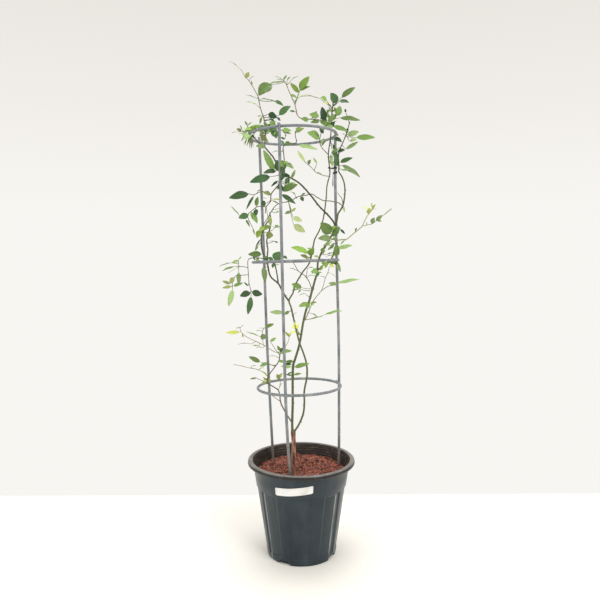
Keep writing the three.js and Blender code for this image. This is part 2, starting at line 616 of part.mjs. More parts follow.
      leaves: [
        [0.75, [2, -3, 1], [13, -5, -9], 0, 0.22, UP],
        [0.51, [-1, 4, 3], [-8, 8, 1], 0, 0.3, UP],
      ],
    },
  ],
  shoot_low_left: [
    {
      route: [
        [-16, -40, 256], [-23, -44, 268], [-29, -47, 279], [-34, -47, 289], [-37, -45, 297],
        [-38, -42, 306], [-41, -37, 315], [-51, -32, 321], [-61, -28, 327], [-60, -27, 337],
        [-55, -26, 345], [-46, -25, 357], [-40, -25, 366], [-38, -25, 377], [-37, -25, 386],
      ],
      radius: [1.3, 0.8],
      leaves: [
        [0.81, [-28, -8, 8], [-20, -6, 11], 0, 0.36, FRONT],
        [0.80, [-14, -10, 8], [-13, -8, -5], 0, 0.4, FRONT],
        [0.91, [-7, 5, 2], [-12, 8, -1], 0, 0.14, UP],
        [0.99, [5, -6, 1], [16, -8, 1], 0, 0.36, FRONT],
        [0.99, [-1, -4, 2], [-4, -6, 9], 0, 0.5, FRONT],
        [0.98, [2, 4, 1], [6, 6, 7], 0, 0.5, FRONT],
        [0.94, [-17, -3, 26], [11, -4, 7], 0, 0.4, FRONT],
        [0.88, [-2, -4, 0], [14, -6, -2], 0, 0.34, HALF_UP],
      ],
      tufts: [[0.61, 4, 11]],
    },
    {
      route: [
        [-36, -45, 296], [-46, -42, 302], [-54, -38, 307],
      ],
      radius: [0.8, 0.6],
      leaves: [
        [0.91, [-1, -2, 2], [-7, -4, 6], 0, 0.4, UP],
      ],
    },
    {
      route: [
        [-60, -28, 326], [-74, -22, 331], [-85, -18, 335],
      ],
      radius: [0.8, 0.5],
      leaves: [
        [0.90, [0, -2, -1], [-10, -5, 0], 0, 0.4, UP],
      ],
    },
    {
      route: [
        [-37, -25, 382], [-47, -21, 382], [-57, -16, 387], [-70, -10, 394], [-90, -2, 402],
        [-104, 3, 409], [-111, 6, 416], [-114, 8, 425],
      ],
      radius: [0.8, 0.5],
      leaves: [
        [0.91, [-3, -3, -1], [-24, -6, 0], 0, 0.28, FRONT],
        [0.98, [3, -2, 2], [5, -3, 4], 0, 0.5, UP],
        [0.98, [-2, -2, 1], [-4, -4, -2], 0, 0.4, HALF_UP],
        [0.85, [-1, -4, -1], [3, -6, -5], 0, 0.4, FRONT],
        [0.55, [-9, -6, -4], [-22, -8, 1], 0, 0.1, UP],
        [0.46, [-3, 5, -7], [-12, 6, 1], 0, 0.3, UP],
        [0.36, [-2, -5, -5], [-12, -6, 3], 0, 0.3, UP],
      ],
    },
    {
      route: [
        [-69, -10, 394], [-70, -12, 406], [-70, -13, 418], [-67, -14, 426],
      ],
      radius: [0.6, 0.5],
      leaves: [
        [0.44, [-5, -4, 1], [15, -8, 1], 0, 0.6, FRONT],
        [0.41, [-8, -4, 4], [-22, -4, 8], 0, 0.1, HALF_UP],
        [0.94, [5, -2, 3], [14, -4, 6], 0, 0.44, FRONT],
        [0.87, [-2, 2, 3], [-7, 3, -1], 0, 0.4, UP],
        [0.72, [-2, -3, 3], [-10, -5, 0], 0, 0.25, UP],
      ],
    },
    {
      route: [
        [-60, -27, 338], [-70, -20, 345], [-81, -14, 349], [-98, -8, 351], [-106, -6, 353],
      ],
      radius: [0.7, 0.5],
      leaves: [
        [0.96, [-1, -1, 0], [-20, -4, 5], 0, 0.1, UP],
        [0.69, [-2, -4, 4], [11, -10, 4], 0, 0.25, UP],
        [0.46, [2, 5, 0], [9, 10, 1], 0, 0.3, UP],
      ],
    },
    {
      route: [
        [-37, -25, 385], [-28, -27, 393], [-22, -28, 404], [-21, -29, 414],
      ],
      radius: [0.6, 0.5],
      leaves: [
      ],
      tufts: [[0.98, 3, 7]],
    },
    {
      route: [
        [-41, -38, 314], [-38, -38, 323], [-37, -38, 334], [-39, -38, 343],
      ],
      radius: [0.6, 0.5],
      leaves: [
        [0.31, [2, -2, 2], [3, -4, 5], 0, 0.35, UP],
      ],
      tufts: [[0.96, 3, 7]],
    },
  ],
};

// Vectors
const add = (a, b) => [a[0] + b[0], a[1] + b[1], a[2] + b[2]];
const sub = (a, b) => [a[0] - b[0], a[1] - b[1], a[2] - b[2]];
const scale = (a, k) => [a[0] * k, a[1] * k, a[2] * k];
const dot = (a, b) => a[0] * b[0] + a[1] * b[1] + a[2] * b[2];
const cross = (a, b) => [a[1] * b[2] - a[2] * b[1], a[2] * b[0] - a[0] * b[2], a[0] * b[1] - a[1] * b[0]];
const length = (a) => Math.hypot(a[0], a[1], a[2]);
const unit = (a) => scale(a, 1 / length(a));
const mix = (a, b, t) => add(a, scale(sub(b, a), t));
const radians = THREE.MathUtils.degToRad;

// Repeatable random numbers between -1 and 1
let seed = 1;
function wander() {
  seed = (seed * 1103515245 + 12345) % 2147483648;
  return seed / 1073741824 - 1;
}

// Geometry from points and from triangles that name them
function facets(points, triangles) {
  const geometry = new THREE.BufferGeometry();
  geometry.setAttribute("position", new THREE.Float32BufferAttribute(points.flat(), 3));
  geometry.setIndex(triangles.flat());
  return geometry;
}

// Closed geometry as a solid that can be joined and cut
function solidOf(geometry) {
  const bare = geometry.clone();
  bare.deleteAttribute("normal");
  bare.deleteAttribute("uv");
  const merged = mergeVertices(bare, 1e-5);
  const mesh = new Mesh({
    numProp: 3,
    vertProperties: new Float32Array(merged.getAttribute("position").array),
    triVerts: new Uint32Array(merged.getIndex().array),
  });
  return new Manifold(mesh);
}

function geometryOf(solid) {
  const mesh = solid.getMesh();
  const points = [];
  for (let i = 0; i < mesh.numVert; i++) {
    const start = i * mesh.numProp;
    points.push(...mesh.vertProperties.subarray(start, start + 3));
  }
  const geometry = new THREE.BufferGeometry();
  geometry.setAttribute("position", new THREE.Float32BufferAttribute(points, 3));
  geometry.setIndex([...mesh.triVerts]);
  return geometry;
}

const joined = (geometries) => Manifold.union(geometries.map(solidOf));

function largestBody(solid) {
  return solid.decompose().sort((a, b) => b.volume() - a.volume())[0];
}

// Triangles that close a stack of equal rings of points, the first ring below
function ringTriangles(rings, sides) {
  const triangles = [];
  for (let i = 0; i < rings - 1; i++) {
    for (let k = 0; k < sides; k++) {
      const a = i * sides + k;
      const b = i * sides + ((k + 1) % sides);
      triangles.push([a, b, b + sides], [a, b + sides, a + sides]);
    }
  }
  const top = (rings - 1) * sides;
  for (let k = 1; k < sides - 1; k++) {
    triangles.push([0, k + 1, k]);
    triangles.push([top, top + k, top + k + 1]);
  }
  return triangles;
}

const stack = (rings) => facets(rings.flat(), ringTriangles(rings.length, rings[0].length));

// Round bar along a route, its radius given at each point
function bar(route, radii, sides) {
  const rings = [];
  let normal = null;
  route.forEach((centre, i) => {
    const before = i > 0 ? unit(sub(centre, route[i - 1])) : null;
    const after = i < route.length - 1 ? unit(sub(route[i + 1], centre)) : null;
    const forward = unit(add(before ?? after, after ?? before));
    const guess = normal ?? (Math.abs(forward[0]) < 0.8 ? [1, 0, 0] : [0, 1, 0]);
    normal = unit(sub(guess, scale(forward, dot(guess, forward))));
    const side = cross(forward, normal);
    const ring = [];
    for (let k = 0; k < sides; k++) {
      const turn = (2 * Math.PI * k) / sides;
      const out = add(scale(normal, Math.cos(turn)), scale(side, Math.sin(turn)));
      ring.push(add(centre, scale(out, radii[i])));
    }
    rings.push(ring);
  });
  return stack(rings);
}

function taper(route, [first, last]) {
  return route.map((_, i) => first + ((last - first) * i) / (route.length - 1));
}

// Place at a share of a route's length
function along(route, share) {
  const steps = route.slice(1).map((point, i) => length(sub(point, route[i])));
  let left = share * steps.reduce((a, b) => a + b, 0);
  let i = 0;
  while (i < steps.length - 1 && left > steps[i]) {
    left -= steps[i];
    i += 1;
  }
  return mix(route[i], route[i + 1], left / steps[i]);
}

// Pot wall seen from above: recessed panels between raised ribs
function potRing(z, radius, fluted) {
  const ring = [];
  const sector = 360 / FLUTE_COUNT;
  const half = PANEL_HALF - PANEL_NARROWING * (z / COLLAR_BOTTOM);
  const angles = [-half, FLUTE_RAMP - half, 0, half - FLUTE_RAMP, half, sector / 2];
  for (let i = 0; i < FLUTE_COUNT; i++) {
    angles.forEach((angle, k) => {
      const turn = radians(-90 + FLUTE_TURN + angle + sector * i);
      const recessed = fluted && Math.abs(k - 2) < 2;
      const reach = recessed ? radius - FLUTE_DEPTH : radius;
      ring.push([reach * Math.cos(turn), reach * Math.sin(turn), z]);
    });
  }
  return ring;
}

const bodyRadius = (z) => POT_BASE_RADIUS + POT_SLOPE * z;
const collarRadius = (z) => bodyRadius(z) + COLLAR_STEP;
const innerRadius = (z) => bodyRadius(z) - FLUTE_DEPTH - POT_WALL;

function potOutside() {
  const lipBottom = POT_HEIGHT - LIP_HEIGHT;
  const [lowerOut, lowerRise] = LIP_LOWER_CHAMFER;
  const [upperOut, upperRise] = LIP_UPPER_CHAMFER;
  return stack([
    potRing(0, POT_BASE_RADIUS - 1, false),
    potRing(FLUTE_BOTTOM - 1.5, bodyRadius(FLUTE_BOTTOM), false),
    potRing(FLUTE_BOTTOM, bodyRadius(FLUTE_BOTTOM), true),
    potRing(COLLAR_BOTTOM - 2, bodyRadius(COLLAR_BOTTOM), true),
    potRing(COLLAR_BOTTOM, collarRadius(COLLAR_BOTTOM), false),
    potRing(lipBottom, collarRadius(lipBottom), false),
    potRing(lipBottom, LIP_RADIUS - lowerOut, false),
    potRing(lipBottom + lowerRise, LIP_RADIUS, false),
    potRing(POT_HEIGHT - upperRise, LIP_RADIUS, false),
    potRing(POT_HEIGHT, LIP_RADIUS - upperOut, false),
  ]);
}

// Hollow of the pot: one cone up to the soil, and a wider one on to the lip
function potHollow() {
  const shoulder = SOIL_LEVEL - SOIL_DROP;
  const profile = [
    [0, POT_FLOOR],
    [innerRadius(POT_FLOOR), POT_FLOOR],
    [innerRadius(shoulder), shoulder],
    [LIP_RADIUS - LIP_WIDTH, POT_HEIGHT],
    [LIP_RADIUS - LIP_WIDTH, POT_HEIGHT + 1],
    [0, POT_HEIGHT + 1],
  ];
  const points = profile.map(([radius, z]) => new THREE.Vector2(radius, z));
  return new THREE.LatheGeometry(points, POT_SIDES).rotateX(Math.PI / 2);
}

// Drain notches round the foot
function potNotches() {
  const notches = [];
  for (let i = 0; i < NOTCH_COUNT; i++) {
    const notch = new THREE.BoxGeometry(...NOTCH_SIZE);
    notch.translate(0, -POT_BASE_RADIUS, NOTCH_SIZE[2] / 2 - 0.01);
    notches.push(notch.rotateZ(radians(NOTCH_TURN + (360 / NOTCH_COUNT) * i)));
  }
  return notches;
}

function makePot() {
  const cuts = joined([potHollow(), ...potNotches()]);
  return geometryOf(solidOf(potOutside()).subtract(cuts));
}

// Soil that fills the pot, its top broken up by low bumps
function soilBlock() {
  const shoulder = SOIL_LEVEL - SOIL_DROP - 1;
  const bottom = POT_FLOOR + GAP;
  const outer = innerRadius(shoulder) - GAP;
  const bumpy = (fall) => () => SOIL_LEVEL - fall + SOIL_BUMP * wander();
  const circle = (radius, height) =>
    Array.from({ length: SOIL_SIDES }, (_, k) => {
      const turn = (2 * Math.PI * k) / SOIL_SIDES;
      return [radius * Math.cos(turn), radius * Math.sin(turn), height()];
    });
  return stack([
    circle(innerRadius(bottom) - GAP, () => bottom),
    circle(outer, () => shoulder),
    circle(outer, bumpy(2)),
    ...SOIL_RINGS.map((share) => circle(outer * share, bumpy(0))),
  ]);
}

function makeSoil(stems) {
  return geometryOf(largestBody(solidOf(soilBlock()).subtract(joined(stems))));
}

// Label bent round the collar, rising to the right
function makeLabel() {
  const [low, high] = LABEL_RANGE;
  const [first, last] = LABEL_ANGLES;
  const rings = [];
  for (let i = 0; i <= LABEL_STEPS; i++) {
    const share = i / LABEL_STEPS;
    const turn = radians(-90 + first + (last - first) * share);
    const rise = LABEL_RISE * Math.pow(share, LABEL_SAG);
    const corner = (height, out) => {
      const radius = collarRadius(height + rise) + GAP + out;
      return [radius * Math.cos(turn), radius * Math.sin(turn), height + rise];
    };
    const back = [corner(low, 0), corner(high, 0)];
    const front = [corner(high, LABEL_THICKNESS), corner(low, LABEL_THICKNESS)];
    rings.push([...back, ...front]);
  }
  return stack(rings);
}

// Shift of the leaning frame at a height
const lean = (height) => [LEAN_X * (height - POT_HEIGHT), LEAN_Y * (height - POT_HEIGHT), 0];
const leaned = (point) => (point[2] < SOIL_LEVEL ? point : add(point, lean(point[2])));
const FRAME_TILT = new THREE.Quaternion().setFromUnitVectors(
  new THREE.Vector3(0, 0, 1),
  new THREE.Vector3(LEAN_X, LEAN_Y, 1).normalize(),
);

function makeRod(route, grow = 0) {
  const radii = route.map(() => ROD_RADIUS + grow);
  return bar(route.map(leaned), radii, ROD_SIDES);
}

// Hoop of wire about its own centre
function makeHoop({ radius }, grow = 0) {
  return new THREE.TorusGeometry(radius, HOOP_WIRE + grow, HOOP_SIDES, HOOP_STEPS);
}

const hoopCentre = ({ height }) => new THREE.Vector3(...add([0, 0, height], lean(height)));

function placedHoop(hoop, grow) {
  const centre = hoopCentre(hoop);
  return makeHoop(hoop, grow).applyQuaternion(FRAME_TILT).translate(centre.x, centre.y, centre.z);
}

// Flat band round an oval, about its own lower centre
function makeBand({ reach: [x, y], height }) {
  const [wideX, wideY] = [x + BAND_THICKNESS, y + BAND_THICKNESS];
  const outline = new THREE.Shape().absellipse(0, 0, wideX, wideY, 0, 2 * Math.PI);
  outline.holes.push(new THREE.Path().absellipse(0, 0, x, y, 0, 2 * Math.PI, true));
  const settings = { depth: height, bevelEnabled: false, curveSegments: BAND_STEPS / 2 };
  return new THREE.ExtrudeGeometry(outline, settings);
}

// Frame of a blade from foot to tip, and the place at a share of its length and a distance out to one side
function bladeFrame(foot, tip, facing, { roll, droop }) {
  const size = length(sub(tip, foot));
  const forward = unit(sub(tip, foot));
  let side = cross(forward, facing);
  if (length(side) < 0.25) side = cross(forward, add(facing, [0.6, -0.6, 0]));
  side = unit(side);
  const square = cross(side, forward);
  const up = unit(add(scale(square, Math.cos(roll)), scale(side, -Math.sin(roll))));
  side = cross(forward, up);
  const at = (share, out) => {
    const rise = BLADE_FOLD * Math.abs(out) + droop * size * share * (1 - share);
    return add(add(foot, scale(forward, share * size)), add(scale(side, out), scale(up, rise)));
  };
  return { size, forward, up, at };
}

// Half width over the greatest half width, with teeth that alternate
function marginShape(share, i) {
  const full = Math.pow(Math.sin(Math.PI * Math.pow(share, 0.8)), 0.8);
  return full * (1 + TOOTH_DEPTH * (i % 2 === 0 ? -1 : 1));
}

function toothCount(size) {
  if (size < 14) return 2;
  return size < 24 ? 3 : 4;
}

// Four points round a stalk: above, below and to both sides
function stalkRing(centre, toward, up, radius) {
  let side = cross(toward, up);
  if (length(side) < 0.2) side = cross(toward, add(up, [0.5, 0.3, 0.2]));
  side = unit(side);
  const over = cross(side, toward);
  const steps = [scale(over, radius), scale(over, -radius), scale(side, radius), scale(side, -radius)];
  return steps.map((step) => add(centre, step));
}

// Points that every blade starts with: its tip, and the midrib's upper and lower face
const [TIP, OVER, UNDER, FOOT] = [0, 1, 2, 3];
const ROOT = 7;

// Leaf blade: a toothed margin shared by both faces, which part at the midrib.
// It has a stalk if a root is given.
function blade(frame, width, grow, root = null) {
  const { size, forward, up, at } = frame;
  const teeth = toothCount(size);
  const thick = BLADE_THICKNESS / 2 + grow;
  const rib = at(0.45, 0);
  const foot = add(at(0, 0), scale(forward, root ? 0 : -grow));
  const tip = add(at(1, 0), scale(forward, grow));
  const points = [tip, add(rib, scale(up, thick)), add(rib, scale(up, -thick))];
  if (root) {
    const toward = unit(sub(foot, root));
    const radius = STALK_RADIUS + grow;
    points.push(...stalkRing(foot, unit(add(toward, forward)), up, radius));
    points.push(...stalkRing(root, toward, up, radius));
  } else {
    points.push(foot);
  }
  const triangles = [];
  for (const hand of [1, -1]) {
    const face = (a, b, c) => triangles.push(hand > 0 ? [a, b, c] : [a, c, b]);
    let last = FOOT;
    if (root) {
      last = hand > 0 ? FOOT + 2 : FOOT + 3;
      stalkFaces(face, last, last + ROOT - FOOT);
    }
    for (let i = 1; i <= teeth + 1; i++) {
      const share = i / (teeth + 1);
      const out = hand * ((width / 2) * marginShape(share, i) + grow);
      const next = i > teeth ? TIP : points.push(at(share, out)) - 1;
      face(OVER, last, next);
      face(UNDER, next, last);
      last = next;
    }
  }
  return facets(points, triangles);
}

// One side of a stalk: from the midrib's ends to the side point of its foot and on to that of its root
function stalkFaces(face, footSide, rootSide) {
  const [above, below] = [FOOT, FOOT + 1];
  face(OVER, above, footSide);
  face(UNDER, footSide, below);
  face(ROOT, rootSide, footSide);
  face(ROOT, footSide, above);
  face(ROOT + 1, footSide, rootSide);
  face(ROOT + 1, below, footSide);
  face(ROOT, ROOT + 1, rootSide);
}

// One leaf: its stalk, its end leaflet and its pairs of side leaflets
function leafParts(root, [, stalk, reach, pairs, ratio, facing], grow) {
  const stalked = pairs > 0 || length(stalk) > LONG_STALK;
  const tip = add(add(root, stalk), reach);
  const foot = stalked ? mix(add(root, stalk), tip, PAIR_SHARES[pairs]) : root;
  const shape = () => ({ roll: 0.35 * wander(), droop: 0.2 + 0.12 * wander() });
  const end = bladeFrame(foot, tip, facing, shape());
  const width = Math.max(length(reach) * (1 - PAIR_SHARES[pairs]) * ratio, LEAST_WIDTH);
  const parts = [blade(end, width, grow, stalked ? root : null)];
  const side = unit(cross(end.forward, facing));
  for (let i = 0; i < pairs; i++) {
    const from = mix(root, foot, 0.9 - 0.35 * i);
    for (const hand of [1, -1]) {
      const toward = unit(add(scale(end.forward, 0.65 + 0.15 * wander()), scale(side, hand)));
      const far = add(from, scale(toward, end.size * (0.62 + 0.12 * wander())));
      const leaflet = bladeFrame(from, far, facing, shape());
      parts.push(blade(leaflet, Math.max(width * 0.6, LEAST_WIDTH), grow));
    }
  }
  return parts;
}

// Young leaves that spread round a bud
function tuftParts(root, forward, [, count, reach], grow) {
  const across = unit(cross(forward, [0.3, 0.9, 0.2]));
  const over = cross(forward, across);
  const parts = [];
  for (let i = 0; i < count; i++) {
    const turn = 2.4 * i + 0.5 * wander();
    const from = add(root, scale(forward, -TUFT_SPREAD * i));
    const out = add(scale(across, Math.cos(turn)), scale(over, Math.sin(turn)));
    const toward = unit(add(out, add(scale(forward, 0.5 + 0.3 * wander()), [0, 0, 0.3])));
    const size = reach * (0.8 + 0.25 * wander());
    const shape = { roll: 0.5 * wander(), droop: 0.2 };
    const leaflet = bladeFrame(from, add(from, scale(toward, size)), UP, shape);
    parts.push(blade(leaflet, size * 0.42, grow));
  }
  return parts;
}

function stemSides(radius) {
  if (radius > 1.5) return 5;
  return radius > 0.9 ? 4 : 3;
}

function stemParts({ route, radius, leaves, tufts = [] }, grow) {
  const radii = taper(route, radius).map((r) => r + grow);
  const parts = [bar(route, radii, stemSides(radius[0]))];
  for (const leaf of leaves) {
    const root = along(route, leaf[0]);
    parts.push(...leafParts(root, leaf, grow));
  }
  for (const tuft of tufts) {
    const ahead = along(route, Math.min(tuft[0] + 0.02, 1));
    const behind = along(route, Math.max(tuft[0] - 0.02, 0));
    parts.push(...tuftParts(along(route, tuft[0]), unit(sub(ahead, behind)), tuft, grow));
  }
  return parts;
}

// Whole shoot, its random numbers drawn alike each time it is made
function makeShoot(order, stems, grow) {
  seed = FIRST_SEED + SEED_STEP * order;
  return joined(stems.flatMap((stem) => stemParts(stem, grow)));
}

function addMesh(parent, name, geometry, look) {
  const mesh = new THREE.Mesh(geometry, new THREE.MeshStandardMaterial(look));
  mesh.name = name;
  parent.add(mesh);
  return mesh;
}

const rose = new THREE.Group();
const potGroup = new THREE.Group();
const frameGroup = new THREE.Group();
const plantGroup = new THREE.Group();
rose.add(potGroup, frameGroup, plantGroup);

// Trunk and rods stand in plain holes in the soil
const trunkRadii = taper(TRUNK_ROUTE, TRUNK_RADIUS);
const trunkSpace = bar(TRUNK_ROUTE, trunkRadii.map((radius) => radius + GAP), TRUNK_SIDES);
const rodSpaces = Object.values(RODS).map((route) => makeRod(route, GAP));
const standing = [trunkSpace, ...rodSpaces];

addMesh(potGroup, "pot", makePot(), NAVY_PLASTIC);
addMesh(potGroup, "label", makeLabel(), LABEL_PAPER);
addMesh(potGroup, "soil", makeSoil(standing), SOIL_BROWN);

for (const [name, route] of Object.entries(RODS)) {
  addMesh(frameGroup, name, makeRod(route), COATED_STEEL);
}
for (const [name, hoop] of Object.entries(HOOPS)) {
  const mesh = addMesh(frameGroup, name, makeHoop(hoop), COATED_STEEL);
  mesh.position.copy(hoopCentre(hoop));
  mesh.quaternion.copy(FRAME_TILT);
}
for (const [name, band] of Object.entries(BANDS)) {
  const mesh = addMesh(frameGroup, name, makeBand(band), BLACK_RUBBER);
  mesh.position.set(...sub(band.centre, [0, 0, band.height / 2]));
}
const tieEnd = addMesh(frameGroup, "tie_end", new THREE.BoxGeometry(...TIE_END_SIZE), BLACK_RUBBER);
tieEnd.position.set(...TIE_END_PLACE);

// Every shoot is cut clear of the pieces that were there before it
addMesh(plantGroup, "trunk", bar(TRUNK_ROUTE, trunkRadii, TRUNK_SIDES), BARK);
const hoopSpaces = Object.values(HOOPS).map((hoop) => placedHoop(hoop, GAP));
let taken = joined([...standing, ...hoopSpaces]);
Object.entries(PLANT).forEach(([name, stems], order) => {
  const shoot = largestBody(makeShoot(order, stems, 0).subtract(taken));
  addMesh(plantGroup, name, geometryOf(shoot), LEAF_GREEN);
  taken = taken.add(makeShoot(order, stems, GAP));
});

export default rose;
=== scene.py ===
import math
import random

import bpy
from mathutils import Matrix, Vector, noise


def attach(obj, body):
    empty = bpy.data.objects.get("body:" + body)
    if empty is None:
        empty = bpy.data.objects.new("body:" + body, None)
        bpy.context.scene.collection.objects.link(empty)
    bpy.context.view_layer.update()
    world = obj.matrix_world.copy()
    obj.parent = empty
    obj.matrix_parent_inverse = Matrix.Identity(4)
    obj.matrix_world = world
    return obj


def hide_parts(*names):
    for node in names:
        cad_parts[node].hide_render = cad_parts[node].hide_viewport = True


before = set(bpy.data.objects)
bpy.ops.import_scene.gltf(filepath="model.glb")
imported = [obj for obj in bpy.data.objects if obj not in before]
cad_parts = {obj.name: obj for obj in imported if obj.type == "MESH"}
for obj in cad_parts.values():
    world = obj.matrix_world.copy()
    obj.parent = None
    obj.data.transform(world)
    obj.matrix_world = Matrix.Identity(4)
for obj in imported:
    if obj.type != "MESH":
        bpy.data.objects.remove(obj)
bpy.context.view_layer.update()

MM = 0.001

# Camera: place, downward pitch, roll and focal length over the width of the sensor
CAMERA_PLACE = (-1.14, -1095.3, 551.3)
CAMERA_PITCH = 3.98
CAMERA_ROLL = 0.23
FOCAL_LENGTH = 35.721
SENSOR_WIDTH = 36

# Floor
FLOOR_HALF_WIDTH = 2600
FLOOR_FRONT = -3000
FLOOR_BACK = 262

FLOOR_TONE = (238, 236, 230)

# Backdrop: its tones low and high, and the rises of view between which it turns darker
BACKDROP_LOW = (248, 246, 242)
BACKDROP_HIGH = (233, 229, 223)
BACKDROP_RISES = (0.08, 0.4)

# Lights, in metres and watts: place, target, size across, power and tint
LIGHTS = {
    "key": ((0.9, -1.3, 1.7), (0, 0, 0.4), 1.1, 21, (1, 0.985, 0.96)),
    "fill": ((-1.5, -0.9, 0.9), (0, 0, 0.35), 1.4, 8, (0.97, 0.985, 1)),
    "top": ((0, 0.4, 2.2), (0, 0, 0), 1.5, 20, (1, 1, 1)),
}

# Pot
POT_HEIGHT = 178.3
POT_BASE_RADIUS = 64.3
POT_SLOPE = 0.1427
POT_WALL = 2.2
LIP_RADIUS = 100
LIP_BOTTOM = 169.8
LIP_WIDTH = 9
COLLAR_STEP = 1.2
COLLAR_BOTTOM = 131
FLUTE_COUNT = 8
FLUTE_TURN = -1.5
FLUTE_DEPTH = 1.3
FLUTE_BOTTOM = 13
FLUTE_HALF = 16
FLUTE_NARROWING = 2.5
FLUTE_RAMP = 1.3
NOTCH_COUNT = 4
NOTCH_TURN = -29
NOTCH_WIDTH = 18
NOTCH_DEPTH = 6
NOTCH_HEIGHT = 6

# Rows of points that the pot's surface runs through: height and step outwards from the base, heights on
# the body, height and step outwards on the collar, rise or drop and inset on the lip, and inside it
# drop and ledge
FOOT_EDGE = [(0, -1), (0.5, -0.3), (1.4, 0.1)]
BODY_HEIGHTS = [11, 12, 12.8, 13.6, 14.5, 30, 50, 70, 90, 110, 124, 127.5, 128.5, 129.5, 130.3]
COLLAR_ROWS = [(131, 0.7), (131.8, COLLAR_STEP), (150, COLLAR_STEP), (168.6, COLLAR_STEP)]
LIP_UNDERSIDE = [(0.1, 3.2), (0.5, 1.3), (1.6, 0.25), (3.2, 0)]
LIP_TOP = [(3, 0.15), (1.6, 0.8), (0.6, 1.9), (0.1, 3.4), (0, 5), (0.2, 7), (0.9, 8.6)]
INSIDE_STEPS = [(2, 0), (3.6, 0.05), (4.2, 0.35), (7.4, 0.35), (8, 0.6), (11.5, 0.6)]

# Soil
SOIL_LEVEL = 159
SOIL_BOTTOM = 2.7
SOIL_GAP = 0.3
SOIL_RELIEF = [(26, 2.2, (0, 0, 0)), (9, 1.5, (7, 3, 1)), (3.6, 0.9, (2, 9, 4))]
SOIL_EDGE = (68.88, 82)
SOIL_SINK = 2.2
CRUMB_COUNT = 620
CRUMB_SIZES = (0.9, 3.5)
CHIP_PLACE = (-52, -48)
CHIP_SIZE = (9, 5.5, 2)

# Painted highlights on the pot's ribs: bearings from the front and half width, in degrees
RIB_HIGHLIGHT_TURNS = (-56, 50, 66)
RIB_HIGHLIGHT_HALF = 2.2
RIB_HIGHLIGHT_STRENGTH = 0.6

# Heights between which the rods are stained by soil, and step between ridges inside the lip
STAIN_HEIGHTS = (175, 235)
RIDGE_STEP = 4.6

# Blank label on the pot's collar
LABEL_ANGLES = (-32, 13.5)
LABEL_RANGE = (136, 150.2)
LABEL_RISE = 7
LABEL_SAG = 1.5
LABEL_THICKNESS = 0.6
LABEL_GAP = 0.3

# Frame of rods and hoops, leaning to the left and to the back about the pot's axis at soil height
LEAN_X = -0.0244
LEAN_Y = 0.0101
ROD_RADIUS = 2.6
ROD_SIDES = 18
HOOP_WIRE = 2.5
HOOP_TURNS = 144
HOOP_SIDES = 14
BEAD_REACH = (3.4, 2.6, 3.6)
HOOPS = {
    "hoop_lower": (313.4, 76.9),
    "hoop_middle": (546.5, 78.5),
    "hoop_upper": (774.5, 80),
}
RODS = {
    "rod_left": [
        [-49, 38, 100], [-54.5, 44, 157], [-59, 57, 290], [-61, 59, 400], [-61.5, 59, 560],
        [-62.5, 58, 700], [-63.5, 58, 782],
    ],
    "rod_front": [[-17, -66, 100], [-19, -74, 157], [-23.5, -79, 300], [-22.5, -81, 560], [-20.5, -83, 777]],
    "rod_right": [
        [63, 18, 100], [71.5, 21, 157], [76, 35, 290], [78, 35, 400], [78, 35, 560], [79, 35, 700],
        [81, 35, 780],
    ],
}

# Tie on the right rod: a band round rod and canes with two knots, a collar under it and a loose end
BAND_CENTRE = (61.3, 40, 721.3)
BAND_REACH = (8, 5.6)
BAND_HEIGHT = 2.4
BAND_THICKNESS = 1
KNOT_TURNS = (222, 298)
KNOT_REACH = (2.3, 1.5, 1.9)
TAPE_TURNS = (234, 276)
COLLAR_CENTRE = (66, 40.4, 712.5)
COLLAR_REACH = 3.3
COLLAR_HEIGHT = 5
COLLAR_PROFILE = [
    (-0.5, 0.0), (-0.5, 0.6), (-0.42, 0.95), (-0.15, 1.0), (0.15, 1.0), (0.42, 0.9), (0.5, 0.55), (0.5, 0.0),
]
TIE_END_SIZE = (1.8, 0.9, 26)
TIE_END_PLACE = (61.6, 36.9, 699)
TIE_END_PROFILE = [
    (0.5, 0.3), (0.47, 0.5), (0.2, 0.55), (0, 0.75), (-0.2, 1), (-0.4, 1), (-0.47, 0.7), (-0.5, 0.3),
]

# Trunk below the fork, and its knots: share of its length, reach and swelling
TRUNK_ROUTE = [[-12.5, -38, 128], [-13, -40, 157], [-13.5, -41, 190], [-13.5, -40, 215], [-14.5, -39, 240]]
TRUNK_RADIUS = [4.6, 3.7]
TRUNK_KNOTS = [(0.62, 0.03, 0.5), (0.97, 0.05, 0.7)]

# Leaves: fold at the midrib over width, thickness, stalks, shares of a leaf that its stalk takes, spread of
# tufts, teeth by size of blade, columns of points across a blade, and ranges of lightness and curl
BLADE_FOLD = 0.25
BLADE_THICKNESS = 0.7
STALK_RADIUS = 0.5
LONG_STALK = 11
LEAST_WIDTH = 2.4
PAIR_SHARES = [0, 0.3, 0.48]
TUFT_SPREAD = 2.2
TEETH_LEAST = 5
TEETH_SIZES = (9, 16, 26)
BLADE_ACROSS = (-1, -0.62, -0.3, 0, 0.3, 0.62, 1)
LEAF_LIGHT = (0.8, 1.2)
LEAF_CURL = (0.03, 0.1)

# Prickles on the canes
PRICKLE_STEP = 8
PRICKLE_LENGTH = 2.6

# Directions that a blade's upper face looks in
UP = [0.1, -0.25, 1]
HALF_UP = [0, -0.75, 0.65]
FRONT = [0.05, -1, 0.2]

